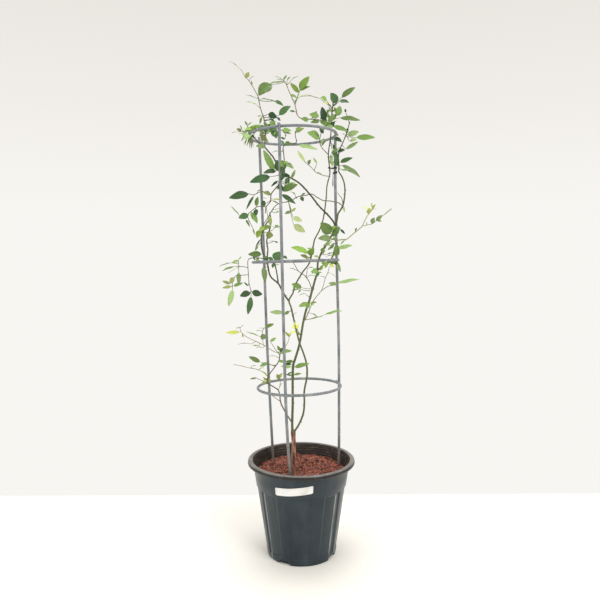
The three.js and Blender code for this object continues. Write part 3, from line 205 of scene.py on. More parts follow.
# Tones of pot, soil, label, frame, ties and bark
POT_NAVY = (24, 37, 46)
POT_DUST = (104, 118, 120)
# Painted highlight on the pot's ribs
RIB_HIGHLIGHT = (196, 202, 200)
# Painted shade: the rolled lip's outer face and underside darkened near black, with dust
LIP_SHADE = (14, 15, 17)
LIP_DUST = (92, 92, 90)
# The rim's top: grey partly from dust and partly painted light falling on it from above
RIM_DUSTY_LIT_GREY = (92, 89, 85)
RIM_DUST = (164, 158, 150)
# Painted shade on the pot's inner wall
INSIDE_SHADE = (36, 31, 27)
INSIDE_DIRT = (104, 82, 66)
# Painted highlight along the ridges inside the lip
INSIDE_RIDGE_HIGHLIGHT = (118, 108, 96)
SOIL_BROWN = (104, 52, 42)
SOIL_RED = (176, 100, 78)
# Painted shade in the soil's gaps
SOIL_GAP_SHADE = (44, 24, 20)
# Pale specks: partly grains, partly painted highlight
SOIL_GRAIN_AND_HIGHLIGHT = (214, 160, 128)
# Painted shade on the soil low down, where the notches show it
SOIL_LOW_SHADE = (26, 20, 18)
CHIP_PINK = (206, 168, 152)
CHIP_PALE = (226, 200, 186)
PAPER = (224, 224, 222)
PAPER_STAIN = (200, 198, 194)
COAT = (104, 110, 114)
COAT_WORN = (146, 149, 152)
COAT_MARK = (80, 84, 80)
COAT_STAIN = (96, 82, 72)
STRAP = (22, 25, 22)
STRAP_WORN = (52, 56, 48)
TAPE = (176, 182, 168)
TAPE_WORN = (226, 228, 216)
BARK = (148, 98, 72)
# Pale patches on the bark: partly paler bark, partly painted highlight
BARK_PALE_AND_HIGHLIGHT = (190, 142, 114)
BARK_FISSURE = (64, 40, 32)
STEM_MOTTLE = (98, 84, 58)

# Side veins to a leaf, and the value and saturation of its deeper and paler shades
VEIN_COUNT = 7.5
LEAF_SHADES = ((0.8, 1), (1.5, 0.86))

# Tones of leaves
MID = (112, 143, 74)
OLD = (68, 100, 57)
DEEP = (46, 78, 44)
# Lime and yellow: partly the young leaves' own colour, partly painted light shining through thin leaves
LIME = (138, 164, 70)
SPRING = (124, 158, 66)
PALE = (158, 172, 118)
SAGE = (132, 156, 100)
OLIVE_LEAF = (130, 140, 80)
# Partly painted light shining through thin leaves
YELLOW = (186, 194, 92)
UNDERSIDE = (158, 172, 140)

# Tones of stems
GREEN = (78, 90, 56)
DARK = (58, 68, 44)
BROWN = (92, 76, 52)
OLIVE = (130, 125, 100)
STRAW = (150, 140, 100)
YOUNG = (146, 152, 96)
PRICKLE_BROWN = (150, 110, 80)

# Each leafy shoot is a list of stems that grow from one another
PLANT = {}


def add_stem(shoot, tone, radius, route, leaves=(), fine=(), tufts=()):
    """One more stem of a shoot, with its radius at both ends and its route from root to tip.

    A leaf: place along the stem, step to the blade's foot, step on to its tip, pairs of side leaflets,
    width over length, the way it faces, and tone. Fine leaves are those that only the scene has.
    A tuft of young leaves: place along the stem, count, reach and tone.
    """
    stem = {"tone": tone, "radius": radius, "route": route, "leaves": leaves, "fine": fine, "tufts": tufts}
    PLANT.setdefault(shoot, []).append(stem)


add_stem("cane_main", GREEN, [2.3, 1.5], [
    [-16, -40, 237], [-16, -40, 259], [-15, -38, 292], [-15, -34, 327], [-14, -30, 358], [-9, -28, 374],
    [-2, -24, 399], [5, -19, 438], [10, -15, 458], [16, -11, 475], [26, -3, 510], [31, 0, 527],
    [32, 3, 543], [37, 6, 558], [45, 9, 572], [54, 11, 587], [61, 12, 600], [65, 12, 611],
], leaves=[
    [0.330, [-3, -6, 2], [-13, -4, 0], 0, 0.46, FRONT, MID],
    [0.306, [3, -7, 0], [26, -6, 8], 0, 0.3, FRONT, MID],
    [0.302, [-4, -6, 3], [-18, -2, 1], 0, 0.36, FRONT, SAGE],
    [0.267, [2, -5, 2], [14, -6, 3], 0, 0.3, HALF_UP, MID],
    [0.263, [-3, -4, 2], [-10, -4, 2], 0, 0.4, HALF_UP, MID],
    [0.612, [-3, -6, -1], [-15, -6, -5], 0, 0.5, FRONT, SPRING],
    [0.608, [5, 6, -2], [10, -4, 4], 0, 0.45, HALF_UP, SPRING],
    [0.669, [-16, -4, 4], [-21, 4, -3], 1, 0.3, HALF_UP, MID],
    [0.679, [-20, -16, 3], [-18, -4, 7], 0, 0.5, FRONT, MID],
    [0.637, [-10, 6, 7], [-10, 8, -4], 0, 0.24, HALF_UP, MID],
    [0.764, [2, -6, 0], [-14, -4, 0], 0, 0.6, FRONT, MID],
    [0.760, [3, 6, 0], [7, 6, -2], 0, 0.4, HALF_UP, MID],
    [0.961, [-4, -10, 0], [-18, -6, 20], 0, 0.7, FRONT, MID],
    [0.973, [-1, -6, -6], [12, -8, 13], 0, 0.7, FRONT, MID],
    [0.941, [1, -8, -2], [-24, -6, 0], 0, 0.5, FRONT, SAGE],
    [0.930, [5, -4, -5], [-17, -4, -8], 0, 0.34, FRONT, SAGE],
    [0.902, [14, -4, -2], [-12, -4, -8], 0, 0.36, FRONT, SAGE],
    [0.885, [-1, -5, -1], [-7, -6, -5], 0, 0.5, FRONT, MID],
    [0.858, [1, -6, -1], [5, -10, 5], 0, 0.5, FRONT, MID],
], fine=[
    [0.946, [1, -10, 1], [9, -3, 5], 0, 0.7, FRONT, MID],
    [0.967, [-6, -10, 6], [11, -3, 5], 0, 0.5, FRONT, SPRING],
    [0.910, [5, -6, -1], [-12, -3, -3], 0, 0.4, FRONT, SAGE],
    [0.936, [5, -6, -3], [8, -3, 6], 0, 0.4, FRONT, SAGE],
    [0.840, [-4, -5, -2], [-8, -3, 2], 0, 0.5, FRONT, SAGE],
    [0.848, [11, -5, 0], [11, -3, 3], 0, 0.26, HALF_UP, OLD],
    [0.762, [4, -6, 0], [-7, -3, -10], 0, 0.5, FRONT, OLD],
    [0.769, [-3, -6, 5], [-7, -3, -10], 0, 0.6, FRONT, MID],
    [0.617, [-2, -6, -1], [-6, -3, -7], 0, 0.6, FRONT, SPRING],
    [0.610, [2, -6, -2], [-7, -3, -8], 0, 0.6, FRONT, MID],
    [0.620, [3, -6, -2], [5, -3, -6], 0, 0.5, FRONT, SPRING],
    [0.600, [-2, -6, 1], [-9, -3, 2], 0, 0.5, FRONT, SAGE],
    [0.281, [-2, -4, 1], [-8, -3, -3], 0, 0.3, FRONT, OLD],
    [0.315, [-4, -4, 2], [-14, -3, 1], 0, 0.34, FRONT, OLD],
])
add_stem("cane_main", GREEN, [1.1, 0.8], [
    [31, 1, 529], [38, 2, 536], [45, 3, 541], [54, 5, 545], [59, 8, 556], [65, 9, 569], [68, 9, 581],
], leaves=[
    [0.41, [-2, -5, -2], [-11, -6, -4], 0, 0.5, FRONT, SPRING],
    [0.27, [-2, -5, 1], [-5, -8, 6], 0, 0.6, FRONT, SPRING],
    [0.31, [1, -4, -2], [-3, -8, -6], 0, 0.5, FRONT, SPRING],
    [0.45, [-1, -4, -3], [13, -8, 2], 0, 0.6, FRONT, MID],
    [0.50, [11, -8, -5], [6, -6, -18], 0, 0.34, FRONT, SAGE],
    [0.60, [0, 6, 2], [-12, 8, -3], 0, 0.35, UP, MID],
    [0.86, [2, -6, 7], [-3, -6, -25], 0, 0.4, FRONT, MID],
    [0.85, [4, -10, -2], [25, -8, 6], 0, 0.3, FRONT, SAGE],
], fine=[
    [0.82, [-3, -6, -3], [-3, -3, -13], 0, 0.34, FRONT, SPRING],
    [0.90, [2, -6, 1], [2, -3, -19], 0, 0.3, FRONT, SAGE],
    [0.96, [-5, -4, 2], [-8, -3, -10], 0, 0.34, FRONT, MID],
    [0.57, [1, -6, -2], [7, -3, -13], 0, 0.5, FRONT, OLD],
    [0.34, [0, -6, 2], [8, -3, 6], 0, 0.5, FRONT, SPRING],
    [0.21, [-2, -6, 0], [-4, -3, -9], 0, 0.6, FRONT, SPRING],
    [0.40, [0, -6, -4], [9, -3, -5], 0, 0.5, FRONT, YELLOW],
])
add_stem("cane_main", GREEN, [0.8, 0.6], [
    [21, -7, 494], [18, -9, 503], [14, -11, 512], [8, -13, 520], [1, -10, 525], [-5, -8, 530],
    [-9, -6, 537], [-13, -4, 544],
], leaves=[
    [0.73, [-3, -5, 0], [-12, -8, 5], 0, 0.4, UP, MID],
    [0.41, [2, -10, 16], [11, -10, 2], 0, 0.3, UP, MID],
    [0.40, [4, -12, 4], [12, -12, 0], 0, 0.3, UP, PALE],
])
add_stem("cane_cross", GREEN, [1.8, 0.9], [
    [-14, -42, 234], [-11, -42, 242], [-3, -40, 255], [4, -39, 273], [6, -38, 292], [6, -38, 314],
    [11, -38, 341], [10, -38, 363], [5, -38, 381], [-2, -37, 400], [-6, -36, 415], [-13, -31, 445],
    [-17, -28, 463], [-21, -25, 476], [-14, -22, 489], [-9, -19, 505], [4, -14, 527], [16, -10, 543],
    [23, -8, 572], [26, -6, 586], [34, -4, 601], [41, 0, 620], [45, 6, 641], [48, 14, 664], [50, 26, 686],
    [56, 37, 710], [55, 39, 725], [53, 34, 746], [56, 23, 770], [57, 15, 784], [57, 8, 799], [58, 3, 814],
    [60, 0, 829],
], leaves=[
    [0.351, [3, -6, 4], [5, -4, 3], 0, 0.4, UP, MID],
    [0.539, [-7, -8, 7], [-29, -10, 8], 0, 0.36, FRONT, SPRING],
    [0.544, [-5, -7, -3], [9, -8, 14], 0, 0.6, FRONT, SPRING],
    [0.996, [8, -6, 4], [-13, -6, 15], 0, 0.72, FRONT, OLD],
    [0.996, [15, -8, 12], [24, -6, 16], 0, 0.36, FRONT, MID],
    [0.993, [11, -14, 6], [16, -8, -4], 0, 0.5, FRONT, OLD],
    [0.988, [-11, -8, 12], [-11, -6, 4], 0, 0.75, FRONT, MID],
    [0.990, [-21, 6, 17], [-36, 8, 7], 0, 0.07, HALF_UP, OLIVE_LEAF],
    [0.956, [-13, -22, -6], [-5, -2, 24], 0, 0.48, FRONT, DEEP],
    [0.966, [-10, -10, 2], [7, -16, 3], 0, 0.5, FRONT, MID],
    [0.974, [8, -16, -8], [6, -2, 17], 0, 0.68, FRONT, MID],
    [0.962, [14, -18, -4], [36, -4, -5], 0, 0.27, FRONT, MID],
    [0.944, [3, -14, -6], [26, -8, -11], 0, 0.3, FRONT, MID],
    [0.940, [-6, -20, 2], [11, -6, 12], 0, 0.55, FRONT, MID],
    [0.937, [-4, -8, 2], [-17, -4, 5], 0, 0.45, FRONT, MID],
    [0.905, [3, -8, -25], [3, -8, -9], 0, 0.5, FRONT, OLD],
    [0.841, [6, -6, -2], [0, -8, -11], 0, 0.5, FRONT, MID],
    [0.908, [6, -12, -4], [13, -14, -10], 0, 0.4, HALF_UP, OLD],
    [0.535, [-6, -6, -1], [-13, -6, 5], 0, 0.42, FRONT, OLIVE_LEAF],
    [0.365, [-15, -6, -3], [-24, -2, 1], 0, 0.32, FRONT, SAGE],
], fine=[
    [0.965, [-5, -6, -3], [-7, -4, 8], 0, 0.5, FRONT, MID],
    [0.959, [1, -8, -4], [7, -4, 10], 0, 0.6, FRONT, MID],
    [0.954, [-8, -10, -2], [-13, -4, 5], 0, 0.55, FRONT, MID],
    [0.945, [3, -8, -2], [-11, -4, -11], 0, 0.5, FRONT, SAGE],
    [0.940, [-2, -8, -5], [8, -4, 10], 0, 0.6, FRONT, OLD],
    [0.982, [-3, -4, 7], [-4, -3, 3], 0, 0.6, FRONT, MID],
    [0.996, [-1, -3, 3], [4, -3, 4], 0, 0.5, FRONT, OLD],
    [0.989, [-7, -3, 6], [-11, -3, 3], 0, 0.34, FRONT, YELLOW],
    [0.984, [6, -8, -5], [-3, -3, 7], 0, 0.6, FRONT, OLIVE_LEAF],
    [0.928, [5, -6, -3], [8, -3, -9], 0, 0.4, FRONT, SAGE],
    [0.933, [-6, -6, -3], [-10, -3, 5], 0, 0.5, FRONT, OLD],
    [0.891, [7, -4, -4], [3, -3, -15], 0, 0.34, FRONT, OLD],
    [0.847, [5, -4, 7], [1, -3, -19], 0, 0.3, FRONT, SAGE],
    [0.832, [12, -8, 22], [1, -4, -29], 0, 0.26, FRONT, OLD],
    [0.549, [-3, -6, 1], [-12, -3, -2], 0, 0.5, FRONT, LIME],
    [0.553, [1, -5, 0], [-10, -3, 5], 0, 0.5, FRONT, SPRING],
    [0.542, [-3, -6, -5], [-7, -3, -4], 0, 0.5, FRONT, OLIVE_LEAF],
    [0.447, [3, -6, -4], [-9, -3, -4], 0, 0.5, FRONT, MID],
    [0.364, [-6, -4, 0], [-7, -3, -6], 0, 0.6, FRONT, MID],
    [0.310, [-2, -5, 3], [-8, -3, 5], 0, 0.45, FRONT, YELLOW],
    [0.309, [0, -5, 4], [5, -3, 9], 0, 0.45, FRONT, YELLOW],
    [0.306, [-3, -5, 0], [-8, -3, -3], 0, 0.4, FRONT, YELLOW],
    [0.302, [0, -5, 3], [6, -3, -7], 0, 0.45, FRONT, SPRING],
    [0.315, [-2, -4, 3], [0, -3, 9], 0, 0.45, FRONT, YELLOW],
], tufts=[
    [0.31, 4, 9, LIME],
    [0.98, 3, 11, MID],
    [0.95, 3, 13, MID],
])
add_stem("cane_cross", GREEN, [0.7, 0.5], [
    [56, 35, 705], [46, 27, 705], [36, 18, 707], [29, 10, 709], [20, 2, 717], [8, -6, 726],
], leaves=[
    [0.97, [-1, 0, 1], [-13, -4, 19], 0, 0.26, FRONT, PALE],
    [0.83, [-2, -3, 2], [5, -5, 7], 0, 0.7, FRONT, SAGE],
    [0.62, [5, -6, 12], [-7, -6, 9], 0, 0.3, FRONT, SAGE],
    [0.39, [5, -4, -3], [-12, -12, 4], 0, 0.3, UP, PALE],
])
add_stem("cane_cross", GREEN, [0.8, 0.6], [
    [53, 34, 745], [46, 26, 750], [39, 18, 757], [36, 10, 765], [38, 6, 777], [43, 2, 785],
], leaves=[
    [0.65, [-1, -6, 1], [-22, -6, 10], 0, 0.72, FRONT, MID],
    [0.93, [-1, -4, -3], [-5, -8, 6], 0, 0.6, FRONT, OLD],
    [0.97, [1, -4, -2], [4, -8, 5], 0, 0.6, HALF_UP, OLD],
    [0.47, [2, -5, -2], [6, -8, 5], 0, 0.5, FRONT, MID],
], fine=[
    [0.54, [2, -5, -1], [5, -3, 8], 0, 0.6, FRONT, SAGE],
    [0.88, [-3, -4, 4], [6, -3, -7], 0, 0.7, FRONT, DEEP],
])
add_stem("cane_right", GREEN, [1.7, 0.8], [
    [66, 12, 613], [68, 11, 624], [70, 11, 634], [76, 11, 643], [80, 13, 653], [83, 19, 674],
    [82, 28, 692], [78, 35, 705], [73, 39, 714], [73, 39, 723], [72, 36, 739], [73, 30, 751],
    [77, 22, 760], [82, 10, 771], [86, 4, 782], [90, 0, 797],
], leaves=[
    [0.710, [-5, -6, -1], [15, -6, 2], 0, 0.6, FRONT, DEEP],
    [0.618, [3, -6, -1], [22, -6, 7], 0, 0.36, FRONT, OLD],
    [0.583, [6, -8, 1], [33, -6, -23], 0, 0.24, FRONT, SAGE],
    [0.560, [20, -12, -3], [-15, -6, -3], 0, 0.34, HALF_UP, SAGE],
    [0.784, [7, -6, -9], [22, -8, 12], 0, 0.26, FRONT, SAGE],
    [0.877, [19, -12, -5], [32, -10, -2], 0, 0.3, FRONT, MID],
    [0.918, [-2, -6, -4], [3, -8, 7], 0, 0.6, FRONT, OLD],
    [0.896, [-1, -5, -5], [-7, -6, 3], 0, 0.6, HALF_UP, MID],
    [0.905, [2, -6, -6], [19, -6, 6], 0, 0.5, FRONT, SAGE],
    [0.990, [-7, -6, 18], [-2, -4, 5], 0, 0.6, FRONT, OLD],
    [0.013, [7, -10, -11], [8, -6, -9], 0, 0.34, FRONT, OLD],
    [0.165, [4, -6, 1], [0, -4, -11], 0, 0.3, FRONT, SAGE],
], fine=[
    [0.681, [-4, -4, -6], [1, -3, -16], 0, 0.3, FRONT, OLD],
    [0.892, [6, -4, -13], [13, -3, 3], 0, 0.45, FRONT, SAGE],
    [0.762, [-8, -4, -4], [-9, -3, -10], 0, 0.5, FRONT, MID],
])
add_stem("cane_right", GREEN, [0.7, 0.5], [
    [79, 11, 649], [76, 6, 661], [72, 4, 666], [68, 3, 671],
])
add_stem("cane_diagonal", DARK, [1.7, 1.1], [
    [64, 10, 612], [60, 7, 620], [49, 0, 632], [34, -9, 646], [18, -20, 665], [0, -31, 683],
    [-16, -42, 692], [-25, -50, 696], [-35, -56, 705], [-43, -52, 720], [-48, -47, 729], [-56, -40, 739],
    [-62, -32, 747], [-69, -24, 754], [-79, -14, 764], [-86, -5, 774],
], leaves=[
    [0.563, [-23, -14, -8], [-34, -8, -10], 0, 0.38, FRONT, DEEP],
    [0.624, [-4, -6, -9], [-21, -8, -4], 0, 0.42, FRONT, OLD],
    [0.628, [-6, -6, -10], [-19, 2, 37], 0, 0.28, FRONT, MID],
    [0.613, [-2, -6, -8], [-1, 2, 21], 0, 0.5, FRONT, OLD],
    [0.562, [0, -8, 17], [17, -6, -11], 0, 0.44, FRONT, SAGE],
    [0.554, [0, -20, 4], [-4, -3, 16], 0, 0.6, FRONT, OLD],
    [0.541, [-7, -18, -2], [14, -4, -2], 0, 0.5, FRONT, DEEP],
    [0.513, [5, -4, -3], [6, -4, 14], 0, 0.34, FRONT, SAGE],
    [0.531, [-1, -6, -5], [4, -6, -10], 0, 0.75, FRONT, OLD],
    [0.820, [1, -6, -1], [-16, -6, 1], 0, 0.6, FRONT, SAGE],
    [0.964, [-8, -4, -3], [3, -2, -18], 0, 0.12, FRONT, MID],
    [0.977, [-10, 2, -2], [-9, 6, -10], 0, 0.16, UP, MID],
    [0.987, [-7, -5, -5], [-3, -8, -16], 0, 0.14, FRONT, MID],
    [0.992, [-11, 6, -3], [-12, 10, -4], 0, 0.2, UP, MID],
], fine=[
    [0.589, [0, -30, 2], [6, -4, -15], 0, 0.55, FRONT, OLD],
    [0.579, [3, -34, 2], [-6, -4, 9], 0, 0.55, FRONT, MID],
    [0.569, [3, -34, -6], [-6, -4, -13], 0, 0.5, FRONT, DEEP],
    [0.559, [-2, -36, 11], [9, -4, 3], 0, 0.45, FRONT, SPRING],
    [0.532, [3, -8, -6], [-6, -4, -10], 0, 0.6, FRONT, OLD],
], tufts=[
    [0.98, 3, 9, MID],
])
add_stem("cane_diagonal", BROWN, [1.1, 0.7], [
    [-30, -53, 699], [-31, -52, 691], [-36, -48, 681], [-41, -44, 676], [-50, -36, 667], [-52, -32, 662],
    [-53, -26, 653], [-61, -20, 644], [-63, -16, 633],
], leaves=[
    [0.24, [-3, -4, 7], [-11, -4, -12], 0, 0.24, FRONT, DEEP],
    [0.19, [20, -4, -9], [-18, -8, -4], 0, 0.3, FRONT, DEEP],
    [0.16, [1, -8, -18], [28, -4, 10], 0, 0.42, FRONT, MID],
    [0.23, [4, -8, -19], [24, -6, -17], 0, 0.27, FRONT, OLD],
    [0.57, [0, -5, 2], [-13, -6, 2], 0, 0.62, FRONT, OLIVE_LEAF],
    [0.68, [-8, -6, -6], [-9, -6, -1], 0, 0.9, FRONT, OLD],
    [0.87, [4, -4, -22], [3, -4, -9], 0, 0.6, FRONT, PALE],
], fine=[
    [0.21, [-2, -26, -5], [8, -4, -11], 0, 0.6, FRONT, DEEP],
    [0.26, [-3, -20, -8], [11, -4, -3], 0, 0.5, FRONT, MID],
    [0.15, [12, -8, -8], [13, -4, 2], 0, 0.4, FRONT, SAGE],
    [0.68, [3, -6, -1], [13, -4, -7], 0, 0.2, HALF_UP, OLIVE_LEAF],
    [0.63, [5, -6, -3], [14, -4, -2], 0, 0.24, HALF_UP, YELLOW],
], tufts=[
    [0.28, 3, 11, MID],
])
add_stem("cane_diagonal", BROWN, [0.7, 0.5], [
    [-51, -34, 665], [-68, -30, 670], [-82, -26, 665], [-93, -24, 667],
], leaves=[
    [0.95, [-1, -2, 0], [-34, -6, -8], 0, 0.42, FRONT, OLD],
    [0.74, [-1, -3, -3], [-13, -4, -24], 0, 0.17, FRONT, OLD],
    [0.62, [1, -4, 3], [8, -6, 3], 0, 0.3, UP, OLD],
    [0.40, [-1, 6, -11], [9, 4, 0], 0, 0.25, UP, MID],
])
add_stem("cane_diagonal", BROWN, [0.7, 0.5], [
    [-61, -21, 644], [-76, -16, 645], [-87, -12, 638], [-95, -9, 631], [-94, -7, 623], [-90, -5, 614],
    [-87, -4, 607],
], leaves=[
    [0.25, [-3, -3, 1], [4, -4, 16], 0, 0.48, FRONT, MID],
    [0.34, [2, -3, -1], [1, -4, -12], 0, 0.7, FRONT, OLD],
    [0.47, [-1, -3, -2], [12, -4, -20], 0, 0.45, FRONT, MID],
    [0.59, [1, -3, -2], [-18, -4, -5], 0, 0.62, FRONT, OLD],
    [0.60, [-17, 6, -1], [-17, 8, 18], 0, 0.14, UP, MID],
    [0.80, [-8, -3, 3], [9, -6, -13], 0, 0.24, FRONT, MID],
    [0.97, [2, -2, -3], [3, -4, -11], 0, 0.24, FRONT, MID],
])
add_stem("cane_diagonal", DARK, [0.9, 0.6], [
    [-28, -52, 697], [-27, -58, 715], [-28, -59, 730], [-29, -57, 742], [-22, -55, 749], [-7, -50, 751],
    [-8, -49, 763], [-8, -48, 771],
], leaves=[
    [0.98, [2, -3, 0], [7, -4, 7], 0, 0.85, FRONT, MID],
    [0.97, [4, -4, 1], [11, -4, 5], 0, 0.6, FRONT, OLIVE_LEAF],
    [0.79, [5, -5, -7], [32, -6, -7], 0, 0.24, FRONT, SAGE],
    [0.61, [-5, -4, 0], [12, -4, -3], 0, 0.6, FRONT, MID],
    [0.55, [-3, 5, 3], [-4, 6, 8], 0, 0.5, HALF_UP, OLD],
    [0.44, [-6, 8, -1], [-14, 8, 1], 0, 0.25, UP, MID],
])
add_stem("twig_cross", GREEN, [0.9, 0.7], [
    [79, 11, 647], [71, 9, 653], [56, 4, 656], [46, -2, 656], [40, -4, 657], [30, -8, 662], [21, -13, 667],
    [10, -21, 664], [0, -28, 662], [-7, -33, 659], [-18, -42, 652], [-33, -52, 648], [-41, -48, 645],
    [-48, -38, 639], [-59, -16, 624], [-67, 4, 615], [-72, 18, 608],
], leaves=[
    [0.534, [9, -6, -41], [20, -2, -13], 0, 0.5, FRONT, PALE],
    [0.408, [1, -4, -2], [4, -4, -8], 0, 0.7, FRONT, OLD],
    [0.403, [1, -4, 1], [7, -4, 3], 0, 0.45, HALF_UP, OLD],
    [0.702, [4, -6, -3], [7, -8, 2], 0, 0.4, UP, MID],
    [0.736, [8, 8, -2], [6, 10, 4], 0, 0.4, UP, MID],
    [0.452, [-2, 6, 7], [-8, 6, 5], 0, 0.4, UP, MID],
    [0.979, [6, -8, 0], [-11, -4, -8], 0, 0.6, FRONT, LIME],
    [0.534, [8, -6, -28], [16, -2, -7], 0, 0.5, FRONT, PALE],
    [0.533, [6, -5, -18], [7, -2, 6], 0, 0.5, FRONT, OLIVE_LEAF],
    [0.535, [5, -4, -18], [-11, -2, -4], 0, 0.5, FRONT, SAGE],
])
add_stem("cane_left", DARK, [1.8, 1.0], [
    [-21, -25, 475], [-28, -19, 484], [-35, -11, 496], [-41, -4, 506], [-55, 6, 518], [-60, 14, 534],
    [-62, 20, 553], [-61, 24, 568], [-63, 28, 586], [-58, 30, 605], [-55, 29, 620], [-57, 26, 637],
], leaves=[
    [0.445, [-8, -10, 1], [3, -8, -29], 0, 0.34, FRONT, SAGE],
    [0.820, [-6, -8, -8], [14, -6, -1], 0, 0.9, FRONT, OLIVE_LEAF],
    [0.845, [2, -9, 5], [-19, -6, -10], 0, 0.45, FRONT, LIME],
    [0.794, [-14, -12, 5], [-7, -6, -14], 0, 0.7, FRONT, LIME],
    [0.955, [-1, -4, 2], [2, -4, -19], 0, 0.4, FRONT, OLIVE_LEAF],
    [0.808, [8, 16, 8], [10, 20, 5], 1, 0.55, UP, MID],
    [0.692, [8, 24, 6], [9, 22, -5], 1, 0.5, UP, OLD],
], fine=[
    [0.559, [-1, -5, 0], [-8, -3, -6], 0, 0.5, FRONT, OLD],
])
add_stem("cane_left", DARK, [1.4, 0.9], [
    [-41, -4, 506], [-43, 2, 521], [-47, 8, 540], [-50, 10, 548],
], leaves=[
    [0.95, [2, -8, 3], [10, -6, 15], 0, 0.9, FRONT, OLD],
    [0.95, [-2, 4, 1], [-10, 4, 7], 0, 0.62, FRONT, OLD],
    [0.82, [-2, -5, 3], [-2, -6, -9], 0, 0.6, FRONT, OLD],
    [0.76, [1, 5, 2], [7, 6, -1], 0, 0.4, UP, MID],
    [0.93, [17, -18, 11], [8, -6, -5], 0, 0.5, FRONT, OLD],
], fine=[
    [0.86, [-4, -6, 2], [-9, -3, 0], 0, 0.4, FRONT, MID],
])
add_stem("cane_left", DARK, [1.5, 1.2], [
    [-61, 18, 546], [-67, 27, 555], [-72, 35, 566], [-74, 39, 579], [-74, 40, 594], [-69, 36, 607],
    [-63, 33, 619], [-57, 30, 626],
], leaves=[
    [0.25, [-3, -10, -3], [-24, -6, 0], 0, 0.46, FRONT, MID],
    [0.49, [-6, -12, -8], [-4, -8, -9], 0, 0.4, FRONT, MID],
], fine=[
    [0.53, [-2, -4, 1], [-9, -3, -17], 0, 0.16, HALF_UP, OLD],
])
add_stem("cane_left", DARK, [0.8, 0.6], [
    [-62, 19, 549], [-72, 15, 552], [-86, 10, 553], [-96, 6, 550], [-97, 4, 538], [-96, 4, 521],
    [-95, 2, 507], [-91, 1, 491],
], leaves=[
    [0.98, [0, -1, -11], [-6, -2, -33], 0, 0.33, FRONT, OLD],
    [0.83, [-2, -3, -7], [-7, -4, 9], 0, 0.26, FRONT, OLD],
    [0.27, [2, -6, -2], [12, -14, -7], 0, 0.4, UP, MID],
    [0.98, [-1, -1, -5], [-19, -2, -5], 0, 0.64, FRONT, OLD],
    [0.98, [2, -1, -3], [19, -2, -4], 0, 0.62, FRONT, OLD],
], fine=[
    [0.27, [-1, -4, 4], [3, -3, -9], 0, 0.3, FRONT, DEEP],
    [0.19, [1, -4, 2], [-3, -3, -8], 0, 0.5, FRONT, DEEP],
])
add_stem("cane_left", DARK, [0.6, 0.5], [
    [-96, 4, 522], [-110, 2, 521], [-119, 0, 520], [-124, -1, 511], [-126, -2, 500],
], leaves=[
    [0.95, [1, -1, -9], [-8, -2, -29], 0, 0.34, FRONT, SAGE],
    [0.73, [1, -2, 7], [-7, -3, -12], 0, 0.62, FRONT, OLIVE_LEAF],
    [0.77, [-7, -2, -6], [-12, -3, 7], 0, 0.42, FRONT, OLIVE_LEAF],
    [0.95, [-1, -1, -2], [-17, -2, -2], 0, 0.34, FRONT, OLIVE_LEAF],
    [0.95, [3, -1, -1], [17, -2, 6], 0, 0.36, FRONT, MID],
])
add_stem("cane_left", DARK, [0.6, 0.5], [
    [-97, 4, 535], [-107, 10, 537], [-115, 13, 538], [-115, 13, 549],
], leaves=[
    [0.64, [0, -3, -11], [1, -2, -24], 0, 0.36, FRONT, SAGE],
    [0.81, [-13, -6, 1], [-21, -8, -6], 0, 0.16, HALF_UP, SAGE],
    [0.65, [-9, 8, -1], [-24, 8, -8], 0, 0.18, HALF_UP, SAGE],
    [0.58, [-5, -9, -4], [-14, -10, -8], 0, 0.2, UP, PALE],
    [0.94, [0, -2, 2], [-12, -4, -5], 0, 0.4, FRONT, SAGE],
    [0.94, [0, 2, 3], [6, 4, 6], 0, 0.35, UP, MID],
])
add_stem("shoot_top_left", OLIVE, [1.2, 0.6], [
    [-62, -32, 748], [-62, -30, 760], [-61, -28, 772], [-61, -26, 783], [-64, -22, 800], [-68, -19, 811],
    [-72, -16, 827], [-74, -14, 838], [-81, -11, 852], [-91, -8, 869], [-98, -6, 875],
], leaves=[
    [0.98, [0, -1, 1], [6, -4, 8], 0, 0.72, FRONT, OLIVE_LEAF],
    [0.98, [-7, 3, 13], [-23, 6, 20], 0, 0.1, UP, OLIVE_LEAF],
    [0.93, [2, -3, 1], [7, -4, 5], 0, 0.3, UP, MID],
    [0.84, [0, -3, 2], [-1, -4, 6], 0, 0.3, FRONT, PALE],
    [0.66, [-4, -3, -1], [-17, -8, 4], 0, 0.18, UP, MID],
    [0.52, [-7, 5, 7], [-19, 8, 8], 0, 0.18, UP, MID],
    [0.64, [2, -4, 0], [29, -14, -9], 0, 0.12, HALF_UP, OLD],
    [0.63, [30, -20, -6], [14, -6, -10], 0, 0.36, FRONT, OLD],
    [0.41, [10, -8, 2], [15, -6, -8], 0, 0.62, FRONT, DEEP],
    [0.39, [28, -16, 0], [20, -6, 14], 0, 0.5, FRONT, OLD],
    [0.35, [9, -8, 1], [10, -6, -7], 0, 0.4, FRONT, DEEP],
    [0.34, [23, -6, 5], [6, -6, -8], 0, 0.35, HALF_UP, OLD],
    [0.42, [-2, -4, -4], [-3, -4, -13], 0, 0.3, FRONT, MID],
    [0.12, [-1, -6, 4], [-4, -6, -13], 0, 0.75, FRONT, OLIVE_LEAF],
    [0.42, [-2, 6, 0], [-8, 8, 1], 0, 0.4, UP, MID],
], fine=[
    [0.24, [1, -6, 2], [11, -3, 2], 0, 0.55, FRONT, SPRING],
    [0.22, [-2, -6, 0], [8, -3, -8], 0, 0.6, FRONT, OLD],
    [0.19, [-2, -6, 0], [-8, -3, -9], 0, 0.5, FRONT, SAGE],
    [0.32, [-1, -4, 0], [6, -3, -9], 0, 0.5, FRONT, MID],
    [0.11, [1, -4, -1], [5, -3, -9], 0, 0.45, FRONT, SAGE],
], tufts=[
    [0.23, 4, 13, MID],
    [0.16, 3, 11, MID],
])
